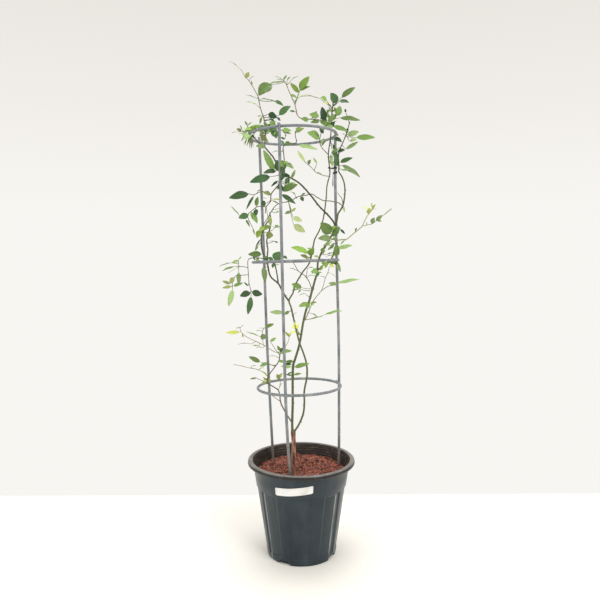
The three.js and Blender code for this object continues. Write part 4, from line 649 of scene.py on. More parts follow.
add_stem("shoot_top_left", OLIVE, [0.8, 0.5], [
    [-61, -27, 776], [-71, -22, 780], [-82, -17, 782], [-93, -12, 781], [-103, -8, 779],
], leaves=[
    [0.79, [0, -2, 10], [-4, -4, 5], 0, 0.45, FRONT, MID],
    [0.78, [0, 2, 10], [8, 4, 5], 0, 0.4, UP, MID],
    [0.96, [-3, -2, 3], [-3, -4, 7], 0, 0.3, FRONT, MID],
    [0.96, [-2, -2, -2], [-19, -4, -2], 0, 0.14, UP, OLIVE_LEAF],
    [0.96, [-4, -2, 0], [-8, -4, 3], 0, 0.7, FRONT, OLIVE_LEAF],
    [0.66, [0, -4, -3], [10, -6, 7], 0, 0.7, FRONT, SPRING],
    [0.60, [1, -6, -1], [-11, -6, -1], 0, 0.6, FRONT, SPRING],
    [0.42, [1, -5, -4], [-11, -6, -5], 0, 0.55, FRONT, OLD],
    [0.29, [-2, -4, 1], [14, -4, 2], 0, 0.55, FRONT, OLD],
    [0.85, [1, -16, -8], [3, -22, -15], 0, 0.6, FRONT, MID],
], fine=[
    [0.55, [0, -5, 2], [11, -3, 2], 0, 0.6, FRONT, SPRING],
    [0.74, [1, -5, -4], [-9, -3, -1], 0, 0.6, FRONT, MID],
    [0.66, [-1, -7, -1], [7, -3, -8], 0, 0.6, FRONT, OLD],
    [0.35, [1, -5, -4], [10, -3, -3], 0, 0.5, FRONT, SAGE],
    [0.42, [-2, -8, 3], [13, -3, -1], 0, 0.5, FRONT, MID],
    [0.79, [-1, -3, -5], [-10, -3, -16], 0, 0.1, FRONT, OLIVE_LEAF],
    [0.75, [1, -3, -8], [-7, -3, -21], 0, 0.09, FRONT, OLIVE_LEAF],
    [0.71, [1, -3, -8], [0, -3, -26], 0, 0.08, FRONT, OLIVE_LEAF],
    [0.68, [1, -3, -9], [5, -3, -24], 0, 0.08, FRONT, OLIVE_LEAF],
    [0.90, [-1, -3, -5], [-10, -3, -2], 0, 0.2, HALF_UP, SAGE],
], tufts=[
    [0.90, 3, 9, MID],
    [0.42, 3, 11, MID],
])
add_stem("shoot_top_left", OLIVE, [0.8, 0.5], [
    [-61, -27, 778], [-53, -31, 780], [-42, -37, 778], [-30, -42, 773], [-24, -44, 764],
], leaves=[
    [0.44, [0, -6, 0], [-9, -6, 10], 0, 0.7, FRONT, MID],
    [0.33, [1, -5, -1], [-14, -8, 3], 0, 0.55, FRONT, OLD],
    [0.40, [-3, -6, -5], [7, -6, -14], 0, 0.75, FRONT, OLD],
    [0.29, [2, -4, -5], [-11, -6, -5], 0, 0.6, FRONT, MID],
    [0.71, [2, -4, 1], [15, -6, -4], 0, 0.46, FRONT, MID],
    [0.79, [1, -4, -3], [13, -4, -3], 0, 0.36, FRONT, SAGE],
    [0.95, [-1, -3, -10], [-8, -4, 4], 0, 0.4, FRONT, OLD],
], fine=[
    [0.24, [-1, -8, 2], [10, -3, 8], 0, 0.6, FRONT, MID],
    [0.51, [0, -6, -2], [-11, -3, -4], 0, 0.5, FRONT, OLD],
    [0.46, [4, -6, -8], [-8, -3, -7], 0, 0.6, FRONT, MID],
    [0.60, [1, -5, 2], [-3, -3, 9], 0, 0.5, FRONT, OLD],
], tufts=[
    [0.20, 3, 11, MID],
])
add_stem("shoot_top_middle", OLIVE, [1.0, 0.6], [
    [57, 10, 796], [40, 2, 800], [22, -6, 801], [6, -8, 801], [-3, -10, 805], [-6, -11, 813],
    [-9, -12, 826], [-14, -13, 837], [-20, -14, 850], [-24, -15, 860], [-28, -16, 866],
], leaves=[
    [0.41, [8, -8, -4], [-13, -8, 1], 0, 0.55, FRONT, MID],
    [0.28, [10, -10, 3], [-17, -6, 2], 0, 0.55, FRONT, MID],
    [0.31, [2, -4, 1], [8, -4, 11], 0, 0.5, FRONT, MID],
    [0.23, [6, -6, -5], [-17, -6, -2], 0, 0.4, FRONT, MID],
    [0.65, [7, -6, 20], [-15, -6, 15], 0, 0.38, FRONT, LIME],
    [0.66, [9, -10, 21], [17, -4, 23], 0, 0.5, FRONT, SPRING],
    [0.67, [9, -10, 20], [18, -8, 5], 0, 0.34, FRONT, MID],
    [0.70, [10, 6, 9], [16, 8, 7], 0, 0.1, HALF_UP, OLIVE_LEAF],
    [0.78, [-1, -4, 2], [11, -6, -8], 0, 0.34, FRONT, MID],
    [0.55, [-4, -4, 1], [-9, -4, 0], 0, 0.36, FRONT, OLD],
    [0.98, [-23, -6, -6], [-23, -6, -20], 0, 0.78, FRONT, MID],
    [0.98, [-2, -3, 0], [-29, -4, -7], 0, 0.13, HALF_UP, MID],
    [0.93, [1, -4, 9], [6, -6, 3], 0, 0.35, UP, MID],
    [0.93, [8, -5, 7], [12, -6, 5], 0, 0.26, HALF_UP, MID],
    [0.98, [-3, -2, 4], [7, -4, 6], 0, 0.35, FRONT, MID],
    [0.98, [-5, 3, 6], [-12, 4, 6], 0, 0.24, HALF_UP, MID],
    [0.98, [-4, -5, 2], [-10, -8, -1], 0, 0.3, UP, PALE],
])
add_stem("shoot_right", YOUNG, [1.1, 0.6], [
    [55, 11, 588], [66, 10, 585], [77, 9, 586], [86, 7, 587], [98, 4, 597], [109, 1, 606], [113, 0, 610],
    [118, -3, 621], [123, -6, 630], [132, -9, 641],
], leaves=[
    [0.92, [-6, -3, -3], [4, -5, 10], 0, 0.62, FRONT, YELLOW],
    [0.94, [-2, -3, 4], [-16, -4, 2], 0, 0.2, HALF_UP, YELLOW],
    [0.98, [1, -2, 1], [6, -4, -1], 0, 0.35, UP, LIME],
    [0.98, [-1, -2, 4], [-2, -3, 8], 0, 0.4, FRONT, LIME],
    [0.98, [2, 2, 4], [5, 3, 5], 0, 0.4, UP, LIME],
    [0.49, [-1, -2, 2], [3, -4, 6], 0, 0.4, FRONT, MID],
    [0.26, [-2, -3, -3], [-6, -6, -7], 0, 0.3, FRONT, MID],
], fine=[
    [0.98, [0, -3, 2], [5, -3, 7], 0, 0.4, FRONT, YELLOW],
    [0.97, [-1, -3, 2], [-5, -3, -2], 0, 0.5, FRONT, YELLOW],
])
add_stem("shoot_right", YOUNG, [0.7, 0.5], [
    [113, 0, 610], [121, 2, 612], [131, 4, 614], [140, 6, 620], [154, 9, 631], [168, 12, 641],
], leaves=[
    [0.29, [-1, -3, 1], [5, -4, 10], 0, 0.72, FRONT, SAGE],
    [0.47, [-2, -3, -1], [11, -5, 10], 0, 0.5, FRONT, SAGE],
    [0.49, [0, -3, -1], [7, -3, -2], 0, 0.55, FRONT, SAGE],
    [0.14, [0, -3, 2], [-2, -3, 3], 0, 0.5, FRONT, MID],
    [0.73, [2, -2, 2], [12, -3, 10], 0, 0.1, UP, OLIVE_LEAF],
])
add_stem("shoot_low_right", OLIVE, [1.0, 0.6], [
    [5, -20, 436], [11, -21, 447], [18, -20, 464], [22, -18, 473], [28, -14, 481], [38, -8, 492],
    [50, -2, 500], [62, 3, 503],
], leaves=[
    [0.98, [9, -2, 4], [38, -6, 7], 0, 0.18, FRONT, SAGE],
    [0.92, [12, -6, 3], [-16, -4, 2], 0, 0.42, FRONT, SAGE],
    [0.05, [36, -8, 10], [31, -4, 8], 0, 0.16, HALF_UP, MID],
    [0.22, [1, 6, -3], [16, 12, -8], 0, 0.3, UP, MID],
    [0.06, [11, -4, 2], [20, -4, 4], 0, 0.14, HALF_UP, SAGE],
])
add_stem("shoot_low_right", OLIVE, [0.6, 0.5], [
    [38, -8, 492], [42, -5, 503], [45, -3, 514], [50, -3, 525], [53, -3, 536],
], leaves=[
    [0.75, [2, -3, 1], [13, -5, -9], 0, 0.22, UP, PALE],
    [0.51, [-1, 4, 3], [-8, 8, 1], 0, 0.3, UP, MID],
])
add_stem("shoot_low_left", BROWN, [1.3, 0.8], [
    [-16, -40, 256], [-23, -44, 268], [-29, -47, 279], [-34, -47, 289], [-37, -45, 297], [-38, -42, 306],
    [-41, -37, 315], [-51, -32, 321], [-61, -28, 327], [-60, -27, 337], [-55, -26, 345], [-46, -25, 357],
    [-40, -25, 366], [-38, -25, 377], [-37, -25, 386],
], leaves=[
    [0.81, [-28, -8, 8], [-20, -6, 11], 0, 0.36, FRONT, MID],
    [0.80, [-14, -10, 8], [-13, -8, -5], 0, 0.4, FRONT, MID],
    [0.91, [-7, 5, 2], [-12, 8, -1], 0, 0.14, UP, MID],
    [0.99, [5, -6, 1], [16, -8, 1], 0, 0.36, FRONT, MID],
    [0.99, [-1, -4, 2], [-4, -6, 9], 0, 0.5, FRONT, MID],
    [0.98, [2, 4, 1], [6, 6, 7], 0, 0.5, FRONT, MID],
    [0.94, [-17, -3, 26], [11, -4, 7], 0, 0.4, FRONT, MID],
    [0.88, [-2, -4, 0], [14, -6, -2], 0, 0.34, HALF_UP, MID],
], fine=[
    [0.98, [-1, -5, 1], [7, -3, 7], 0, 0.6, FRONT, OLD],
    [0.97, [-2, -5, 3], [9, -3, -4], 0, 0.5, FRONT, MID],
    [0.61, [-3, -4, 0], [-4, -3, 8], 0, 0.4, FRONT, OLIVE_LEAF],
    [0.60, [-3, -4, -1], [-8, -3, -1], 0, 0.4, FRONT, LIME],
    [0.63, [3, -4, 2], [3, -3, -8], 0, 0.4, FRONT, OLIVE_LEAF],
    [0.67, [-4, -4, 1], [-7, -3, 8], 0, 0.3, HALF_UP, LIME],
], tufts=[
    [0.61, 4, 11, LIME],
])
add_stem("shoot_low_left", STRAW, [0.8, 0.6], [
    [-36, -45, 296], [-46, -42, 302], [-54, -38, 307],
], leaves=[
    [0.91, [-1, -2, 2], [-7, -4, 6], 0, 0.4, UP, MID],
])
add_stem("shoot_low_left", STRAW, [0.8, 0.5], [
    [-60, -28, 326], [-74, -22, 331], [-85, -18, 335],
], leaves=[
    [0.90, [0, -2, -1], [-10, -5, 0], 0, 0.4, UP, MID],
])
add_stem("shoot_low_left", STRAW, [0.8, 0.5], [
    [-37, -25, 382], [-47, -21, 382], [-57, -16, 387], [-70, -10, 394], [-90, -2, 402], [-104, 3, 409],
    [-111, 6, 416], [-114, 8, 425],
], leaves=[
    [0.91, [-3, -3, -1], [-24, -6, 0], 0, 0.28, FRONT, YELLOW],
    [0.98, [3, -2, 2], [5, -3, 4], 0, 0.5, UP, LIME],
    [0.98, [-2, -2, 1], [-4, -4, -2], 0, 0.4, HALF_UP, LIME],
    [0.85, [-1, -4, -1], [3, -6, -5], 0, 0.4, FRONT, LIME],
    [0.55, [-9, -6, -4], [-22, -8, 1], 0, 0.1, UP, OLIVE_LEAF],
    [0.46, [-3, 5, -7], [-12, 6, 1], 0, 0.3, UP, MID],
    [0.36, [-2, -5, -5], [-12, -6, 3], 0, 0.3, UP, MID],
])
add_stem("shoot_low_left", STRAW, [0.6, 0.5], [
    [-69, -10, 394], [-70, -12, 406], [-70, -13, 418], [-67, -14, 426],
], leaves=[
    [0.44, [-5, -4, 1], [15, -8, 1], 0, 0.6, FRONT, SAGE],
    [0.41, [-8, -4, 4], [-22, -4, 8], 0, 0.1, HALF_UP, MID],
    [0.94, [5, -2, 3], [14, -4, 6], 0, 0.44, FRONT, SPRING],
    [0.87, [-2, 2, 3], [-7, 3, -1], 0, 0.4, UP, MID],
    [0.72, [-2, -3, 3], [-10, -5, 0], 0, 0.25, UP, PALE],
])
add_stem("shoot_low_left", STRAW, [0.7, 0.5], [
    [-60, -27, 338], [-70, -20, 345], [-81, -14, 349], [-98, -8, 351], [-106, -6, 353],
], leaves=[
    [0.96, [-1, -1, 0], [-20, -4, 5], 0, 0.1, UP, OLIVE_LEAF],
    [0.69, [-2, -4, 4], [11, -10, 4], 0, 0.25, UP, MID],
    [0.46, [2, 5, 0], [9, 10, 1], 0, 0.3, UP, LIME],
])
add_stem("shoot_low_left", STRAW, [0.6, 0.5], [
    [-37, -25, 385], [-28, -27, 393], [-22, -28, 404], [-21, -29, 414],
], fine=[
    [0.91, [-1, -3, 2], [-6, -3, 8], 0, 0.4, FRONT, YELLOW],
    [0.94, [1, -3, 2], [4, -3, 7], 0, 0.4, FRONT, YELLOW],
], tufts=[
    [0.98, 3, 7, LIME],
])
add_stem("shoot_low_left", STRAW, [0.6, 0.5], [
    [-41, -38, 314], [-38, -38, 323], [-37, -38, 334], [-39, -38, 343],
], leaves=[
    [0.31, [2, -2, 2], [3, -4, 5], 0, 0.35, UP, MID],
], fine=[
    [0.88, [-2, -3, -1], [7, -3, 9], 0, 0.5, FRONT, OLIVE_LEAF],
    [0.77, [-2, -3, -1], [-4, -3, 10], 0, 0.5, FRONT, OLIVE_LEAF],
], tufts=[
    [0.96, 3, 7, LIME],
])

# Repeatable random numbers between -1 and 1, the same ones in the same order as in the part's own source
seed = 1.0


def wander():
    global seed
    seed = math.fmod(seed * 1103515245.0 + 12345.0, 2147483648.0)
    return seed / 1073741824.0 - 1


def linear(channel):
    share = channel / 255
    return share / 12.92 if share <= 0.04045 else ((share + 0.055) / 1.055) ** 2.4


def colour(tone):
    return (linear(tone[0]), linear(tone[1]), linear(tone[2]), 1)


def blend(first, second, share):
    return tuple(a + (b - a) * share for a, b in zip(first, second))


def smooth(low, high, value):
    share = min(max((value - low) / (high - low), 0), 1)
    return share * share * (3 - 2 * share)


class Shape:
    """Points and faces gathered for one mesh, in millimetres, each face with a material and a tone."""

    def __init__(self):
        self.points = []
        self.faces = []
        self.materials = []
        self.tones = []
        self.places = []

    def add(self, points, faces, material=0, tone=(128, 128, 128), places=None):
        start = len(self.points)
        self.points.extend(points)
        self.places.extend(places or [(0, 0)] * len(points))
        for face in faces:
            self.faces.append([start + index for index in face])
            self.materials.append(material)
            self.tones.append(tone)

    def build(self, name, materials, node=None, sharp=40):
        mesh = bpy.data.meshes.new(name)
        mesh.from_pydata([tuple(c * MM for c in point) for point in self.points], [], self.faces)
        for material in materials:
            mesh.materials.append(material)
        mesh.polygons.foreach_set("material_index", self.materials)
        mesh.polygons.foreach_set("use_smooth", [True] * len(self.faces))
        tones = mesh.color_attributes.new("tone", "FLOAT_COLOR", "CORNER")
        places = mesh.uv_layers.new(name="place")
        for polygon, tone in zip(mesh.polygons, self.tones):
            value = colour(tone)
            for corner in polygon.loop_indices:
                tones.data[corner].color = value
                places.uv[corner].vector = self.places[mesh.loops[corner].vertex_index]
        mesh.set_sharp_from_angle(angle=math.radians(sharp))
        mesh.update()
        piece = bpy.data.objects.new(name, mesh)
        bpy.context.scene.collection.objects.link(piece)
        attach(piece, "root")
        if node:
            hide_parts(node)
        return piece


def grid_faces(rows, columns, closed):
    """Quads of a grid of points, row by row, its columns closed into a ring or left open."""
    faces = []
    for i in range(rows - 1):
        for k in range(columns if closed else columns - 1):
            start = i * columns
            right = (k + 1) % columns
            faces.append([start + k, start + right, start + columns + right, start + columns + k])
    return faces


def ring_faces(turns, sides):
    """Quads of a tube whose last ring meets its first."""
    faces = []
    for i in range(turns):
        after = (i + 1) % turns * sides
        for k in range(sides):
            right = (k + 1) % sides
            faces.append([i * sides + k, after + k, after + right, i * sides + right])
    return faces


def curve_through(route, steps):
    """Smooth curve through the points of a route, with so many steps between two points."""
    points = [Vector(point) for point in route]
    ends = [points[0] * 2 - points[1]] + points + [points[-1] * 2 - points[-2]]
    made = []
    for i in range(len(points) - 1):
        a, b, c, d = ends[i : i + 4]
        for k in range(steps):
            t = k / steps
            slope_b = (c - a) * 0.5
            slope_c = (d - b) * 0.5
            made.append(
                b * (2 * t**3 - 3 * t**2 + 1)
                + slope_b * (t**3 - 2 * t**2 + t)
                + c * (3 * t**2 - 2 * t**3)
                + slope_c * (t**3 - t**2)
            )
    made.append(points[-1])
    return made


def add_tube(shape, route, radii, sides, material=0, tone=(128, 128, 128), bump=None):
    """Round tube along a curve with rounded ends."""
    before = [route[0]] + route[:-1]
    after = route[1:] + [route[-1]]
    forward = [(b - a).normalized() for a, b in zip(before, after)]
    guess = Vector((1, 0, 0)) if abs(forward[0].x) < 0.8 else Vector((0, 1, 0))
    normals = []
    for direction in forward:
        guess = (guess - direction * guess.dot(direction)).normalized()
        normals.append(guess)
    cap = [(0.0, -1.0), (0.5, -0.87), (0.87, -0.5)]
    rings = [(0, radii[0] * wide, radii[0] * out) for wide, out in cap]
    rings += [(i, radius, 0) for i, radius in enumerate(radii)]
    last = len(route) - 1
    rings += [(last, radii[last] * wide, -radii[last] * out) for wide, out in reversed(cap)]
    points = []
    for i, radius, shift in rings:
        side = forward[i].cross(normals[i])
        for k in range(sides):
            turn = 2 * math.pi * k / sides
            reach = max(radius, 0.01)
            if bump:
                reach *= bump(i, turn)
            out = normals[i] * math.cos(turn) + side * math.sin(turn)
            points.append(route[i] + forward[i] * shift + out * reach)
    shape.add(points, grid_faces(len(rings), sides, True), material, tone)


def lengths_along(route):
    total = [0.0]
    for a, b in zip(route, route[1:]):
        total.append(total[-1] + (b - a).length)
    return total


def place_along(route, share):
    """Place at a share of a route's length."""
    total = lengths_along(route)
    wanted = share * total[-1]
    i = 0
    while i < len(route) - 2 and wanted > total[i + 1]:
        i += 1
    return route[i].lerp(route[i + 1], (wanted - total[i]) / (total[i + 1] - total[i]))


def lean(height):
    return Vector((LEAN_X * (height - POT_HEIGHT), LEAN_Y * (height - POT_HEIGHT), 0))


def body_radius(z):
    return POT_BASE_RADIUS + POT_SLOPE * z


# Materials


class Tree:
    """A node tree with short ways to add nodes to it."""

    def __init__(self, tree):
        self.nodes = tree.nodes
        self.links = tree.links

    def place(self, stretch=(1, 1, 1)):
        mapping = self.nodes.new("ShaderNodeMapping")
        mapping.inputs["Scale"].default_value = stretch
        coordinates = self.nodes.new("ShaderNodeTexCoord")
        self.links.new(coordinates.outputs["Object"], mapping.inputs["Vector"])
        return mapping.outputs["Vector"]

    def noise(self, place, scale, detail=4, roughness=0.5):
        texture = self.nodes.new("ShaderNodeTexNoise")
        texture.inputs["Scale"].default_value = scale
        texture.inputs["Detail"].default_value = detail
        texture.inputs["Roughness"].default_value = roughness
        self.links.new(place, texture.inputs["Vector"])
        return texture.outputs["Fac"]

    def split(self, vector):
        parts = self.nodes.new("ShaderNodeSeparateXYZ")
        self.links.new(vector, parts.inputs["Vector"])
        return parts.outputs

    def ramp(self, value, low, high, start=0.0, end=1.0):
        made = self.nodes.new("ShaderNodeMapRange")
        limits = {"From Min": low, "From Max": high, "To Min": start, "To Max": end}
        for name, limit in limits.items():
            made.inputs[name].default_value = limit
        self.links.new(value, made.inputs["Value"])
        return made.outputs["Result"]

    def mix(self, share, first, second):
        made = self.nodes.new("ShaderNodeMix")
        made.data_type = "RGBA"
        for name, value in (("A", first), ("B", second)):
            socket = [s for s in made.inputs if s.name == name and s.type == "RGBA"][0]
            if isinstance(value, tuple):
                socket.default_value = colour(value)
            else:
                self.links.new(value, socket)
        self.links.new(share, made.inputs["Factor"])
        return [s for s in made.outputs if s.type == "RGBA"][0]

    def calculate(self, kind, *values):
        made = self.nodes.new("ShaderNodeMath")
        made.operation = kind
        for socket, value in zip(made.inputs, values):
            if isinstance(value, (int, float)):
                socket.default_value = value
            else:
                self.links.new(value, socket)
        return made.outputs["Value"]


class Look(Tree):
    """A material with its own tone, roughness and specular level."""

    def __init__(self, name, tone, roughness, specular=0.5):
        self.material = bpy.data.materials.new(name)
        self.material.use_nodes = True
        super().__init__(self.material.node_tree)
        self.shader = self.nodes["Principled BSDF"]
        self.shader.inputs["Base Color"].default_value = colour(tone)
        self.shader.inputs["Roughness"].default_value = roughness
        self.shader.inputs["Specular IOR Level"].default_value = specular

    def feed(self, name, value):
        self.links.new(value, self.shader.inputs[name])

    def bump(self, height, strength, distance):
        made = self.nodes.new("ShaderNodeBump")
        made.inputs["Strength"].default_value = strength
        made.inputs["Distance"].default_value = distance * MM
        self.links.new(height, made.inputs["Height"])
        self.feed("Normal", made.outputs["Normal"])

    def piece_tone(self):
        attribute = self.nodes.new("ShaderNodeAttribute")
        attribute.attribute_name = "tone"
        return attribute.outputs["Color"]


def rib_highlight_mask(look):
    """Narrow upright bands of painted highlight on the ribs, broken up along their length."""
    x, y, z = look.split(look.place())
    turn = look.calculate("ARCTAN2", x, look.calculate("MULTIPLY", y, -1))
    mask = look.ramp(z, (COLLAR_BOTTOM - 6) * MM, COLLAR_BOTTOM * MM, 1, 0)
    bands = 0
    for bearing in RIB_HIGHLIGHT_TURNS:
        away = look.calculate("ABSOLUTE", look.calculate("SUBTRACT", turn, math.radians(bearing)))
        bands = look.calculate("MAXIMUM", bands, look.ramp(away, 0, math.radians(RIB_HIGHLIGHT_HALF), 1, 0))
    broken = look.ramp(look.noise(look.place((1, 1, 0.25)), 90, 4), 0.3, 0.65)
    return look.calculate("MULTIPLY", look.calculate("MULTIPLY", bands, mask), broken)


def pot_material(name, base, dust, dusty, rib_highlights=False):
    """Moulded plastic with dust that has settled in patches and thin upright streaks, and on the body painted
    highlights on the ribs.
    """
    look = Look(name, base, 0.36, 0.36)
    place = look.place()
    patches = look.ramp(look.noise(place, 14, 8, 0.62), 0.42, 0.8)
    streaks = look.ramp(look.noise(look.place((1, 1, 0.12)), 60, 6, 0.6), 0.5, 0.85)
    specks = look.ramp(look.noise(place, 420, 2), 0.66, 0.74)
    dirt = look.calculate("MULTIPLY_ADD", patches, dusty, look.calculate("MULTIPLY", streaks, dusty))
    dirt = look.calculate("MAXIMUM", dirt, look.calculate("MULTIPLY", specks, dusty))
    skin = look.mix(dirt, base, dust)
    # Painted highlights: light upright bands where the ribs reflect the lamps
    if rib_highlights:
        skin = look.mix(look.calculate("MULTIPLY", rib_highlight_mask(look), RIB_HIGHLIGHT_STRENGTH), skin, RIB_HIGHLIGHT)
    look.feed("Base Color", skin)
    look.feed("Roughness", look.ramp(patches, 0, 1, 0.3, 0.5))
    look.bump(look.noise(place, 900, 3), 0.12, 0.25)
    return look.material


def inside_material():
    """Inner wall darkened as painted shade, with patches of dirt and thin ridges painted lighter as
    highlights.
    """
    look = Look("pot_inside", INSIDE_SHADE, 0.7, 0.2)
    place = look.place()
    step = RIDGE_STEP * MM
    wave = look.calculate("PINGPONG", look.split(place)["Z"], step / 2)
    # Breaks in the painted ridge highlights
    worn = look.ramp(look.noise(look.place((1, 1, 3)), 45, 5), 0.35, 0.7)
    ridges = look.calculate("MULTIPLY", look.ramp(wave, 0, step * 0.16, 0.7, 0), worn)
    dirt = look.ramp(look.noise(place, 120, 6, 0.65), 0.5, 0.8, 0, 0.5)
    look.feed("Base Color", look.mix(ridges, look.mix(dirt, INSIDE_SHADE, INSIDE_DIRT), INSIDE_RIDGE_HIGHLIGHT))
    look.bump(ridges, 0.5, 0.6)
    return look.material


def soil_material():
    """Red-brown crumbly soil with painted shade in its gaps and deeper down, and a few pale specks that are
    partly grains and partly painted highlight.
    """
    look = Look("soil_red", SOIL_RED, 0.95)
    place = look.place()
    coarse = look.ramp(look.noise(place, 75, 6, 0.65), 0.38, 0.62)
    # Painted shade in the gaps
    fine = look.ramp(look.noise(place, 330, 5, 0.7), 0.42, 0.56)
    # Pale specks, partly grains and partly painted highlight
    grains = look.ramp(look.noise(place, 420, 2), 0.64, 0.7)
    # Painted shade low down, where the soil shows through the notches
    deep = look.ramp(look.split(place)["Z"], SOIL_BOTTOM * MM, SOIL_LEVEL * 0.8 * MM, 1, 0)
    earth = look.mix(fine, SOIL_GAP_SHADE, look.mix(coarse, SOIL_BROWN, SOIL_RED))
    look.feed("Base Color", look.mix(deep, look.mix(grains, earth, SOIL_GRAIN_AND_HIGHLIGHT), SOIL_LOW_SHADE))
    look.bump(look.noise(place, 300, 6, 0.7), 1, 2.6)
    return look.material


def label_material():
    """White paper with faint creases."""
    look = Look("label_paper", PAPER, 0.7)
    stains = look.ramp(look.noise(look.place(), 60, 5), 0.45, 0.75)
    look.feed("Base Color", look.mix(stains, PAPER, PAPER_STAIN))
    look.bump(look.noise(look.place((1, 1, 2.5)), 90, 3), 0.35, 0.6)
    return look.material


def frame_material():
    """Grey plastic coat on steel, scuffed here and there and stained by soil low down."""
    look = Look("frame_coat", COAT, 0.42, 0.35)
    place = look.place()
    scuffs = look.ramp(look.noise(place, 38, 6, 0.6), 0.42, 0.72)
    marks = look.ramp(look.noise(place, 240, 3), 0.6, 0.7)
    low, high = STAIN_HEIGHTS
    stain = look.ramp(look.split(place)["Z"], low * MM, high * MM, 0.75, 0)
    coat = look.mix(marks, look.mix(scuffs, COAT, COAT_WORN), COAT_MARK)
    look.feed("Base Color", look.mix(stain, coat, COAT_STAIN))
    look.feed("Roughness", look.ramp(scuffs, 0, 1, 0.36, 0.55))
    look.bump(look.noise(place, 500, 3), 0.15, 0.2)
    return look.material


def worn_material(name, base, light, roughness):
    """Strap, tape or wood chip, lighter where it is worn."""
    look = Look(name, base, roughness)
    place = look.place()
    look.feed("Base Color", look.mix(look.ramp(look.noise(place, 320, 4), 0.45, 0.7), base, light))
    look.bump(look.noise(place, 700, 3), 0.3, 0.3)
    return look.material


def bark_material():
    """Brown bark with fissures that run up the trunk, and pale patches that are partly paler bark and partly
    painted highlight.
    """
    look = Look("bark_brown", BARK, 0.85)
    fissures = look.ramp(look.noise(look.place((1, 1, 0.22)), 320, 6, 0.65), 0.38, 0.62)
    patches = look.ramp(look.noise(look.place(), 90, 4), 0.35, 0.65)
    look.feed("Base Color", look.mix(fissures, BARK_FISSURE, look.mix(patches, BARK, BARK_PALE_AND_HIGHLIGHT)))
    look.bump(fissures, 0.8, 0.9)
    return look.material


def stem_material():
    """Green skin of a cane, mottled."""
    look = Look("stem_skin", GREEN, 0.5, 0.3)
    place = look.place()
    mottle = look.ramp(look.noise(place, 140, 5, 0.6), 0.35, 0.7, 0.0, 0.45)
    look.feed("Base Color", look.mix(mottle, look.piece_tone(), STEM_MOTTLE))
    look.bump(look.noise(place, 800, 3), 0.25, 0.3)
    return look.material


def leaf_material():
    """Leaf skin with a pale midrib and side veins that run out to the teeth."""
    look = Look("leaf_skin", MID, 0.45, 0.22)
    place = look.nodes.new("ShaderNodeUVMap")
    place.uv_map = "place"
    along, across, _ = look.split(place.outputs["UV"])
    out = look.calculate("ABSOLUTE", look.calculate("SUBTRACT", across, 0.5))
    midrib = look.ramp(out, 0.012, 0.035, 1, 0)
    steps = look.calculate("MULTIPLY_ADD", out, -2.4, look.calculate("MULTIPLY", along, VEIN_COUNT))
    wave = look.calculate("PINGPONG", steps, 0.5)
    veins = look.calculate("MULTIPLY", look.ramp(wave, 0.02, 0.1, 1, 0), 0.6)
    lines = look.calculate("MAXIMUM", midrib, veins)
    mottle = look.ramp(look.noise(look.place(), 260, 4), 0.3, 0.7)
    tone = look.piece_tone()
    shades = []
    for value, saturation in LEAF_SHADES:
        shade = look.nodes.new("ShaderNodeHueSaturation")
        shade.inputs["Value"].default_value = value
        shade.inputs["Saturation"].default_value = saturation
        look.links.new(tone, shade.inputs["Color"])
        shades.append(shade.outputs["Color"])
    skin = look.mix(mottle, shades[0], tone)
    look.feed("Base Color", look.mix(look.calculate("MULTIPLY", lines, 0.55), skin, shades[1]))
    look.bump(look.calculate("MULTIPLY", lines, -1), 0.35, 0.35)
    return look.material


# Pot, with recessed panels between raised ribs, a rolled lip and drain notches in its foot


def panel_half(z):
    return FLUTE_HALF - FLUTE_NARROWING * z / COLLAR_BOTTOM


def sector_angles(z):
    """Angles over one panel and its rib, closer together at the panel's edges and at a notch's edges."""
    half = panel_half(z)
    inner = [0, 0.3, 0.6, 0.62, 0.8]
    edge = 1 - FLUTE_RAMP / half
    shares = sorted(inner[1:] + [edge, (1 + edge) / 2, 1])
    angles = [share * half for share in shares]
    outer = [1.08, 1.28, 1.3, 1.4]
    angles += [half + (share - 1) * 2 * (22.5 - half) for share in outer]
    return [-22.5] + [-angle for angle in reversed(angles)] + [0] + angles


def flute_inset(z, angle):
    half = panel_half(z)
    risen = smooth(FLUTE_BOTTOM - 1.5, FLUTE_BOTTOM + 0.5, z)
    upright = risen * (1 - smooth(COLLAR_BOTTOM - 2.5, COLLAR_BOTTOM, z))
    return FLUTE_DEPTH * upright * (1 - smooth(half - FLUTE_RAMP, half, abs(angle)))


def notch_lift(turn):
    """Height that the foot is cut up to at an angle, in degrees from the front."""
    step = 360 / NOTCH_COUNT
    away = abs((turn - NOTCH_TURN + step / 2) % step - step / 2)
    half = math.degrees(math.asin(NOTCH_WIDTH / 2 / POT_BASE_RADIUS))
    return NOTCH_HEIGHT if away < half else 0


def pot_row(z, radius, fluted=True, notched=False):
    row = []
    for i in range(FLUTE_COUNT):
        for angle in sector_angles(min(max(z, 0), COLLAR_BOTTOM)):
            turn = FLUTE_TURN + angle + 360 / FLUTE_COUNT * i
            reach = radius - (flute_inset(z, angle) if fluted else 0)
            height = max(z, notch_lift(turn)) if notched else z
            bearing = math.radians(turn - 90)
            row.append((reach * math.cos(bearing), reach * math.sin(bearing), height))
    return row


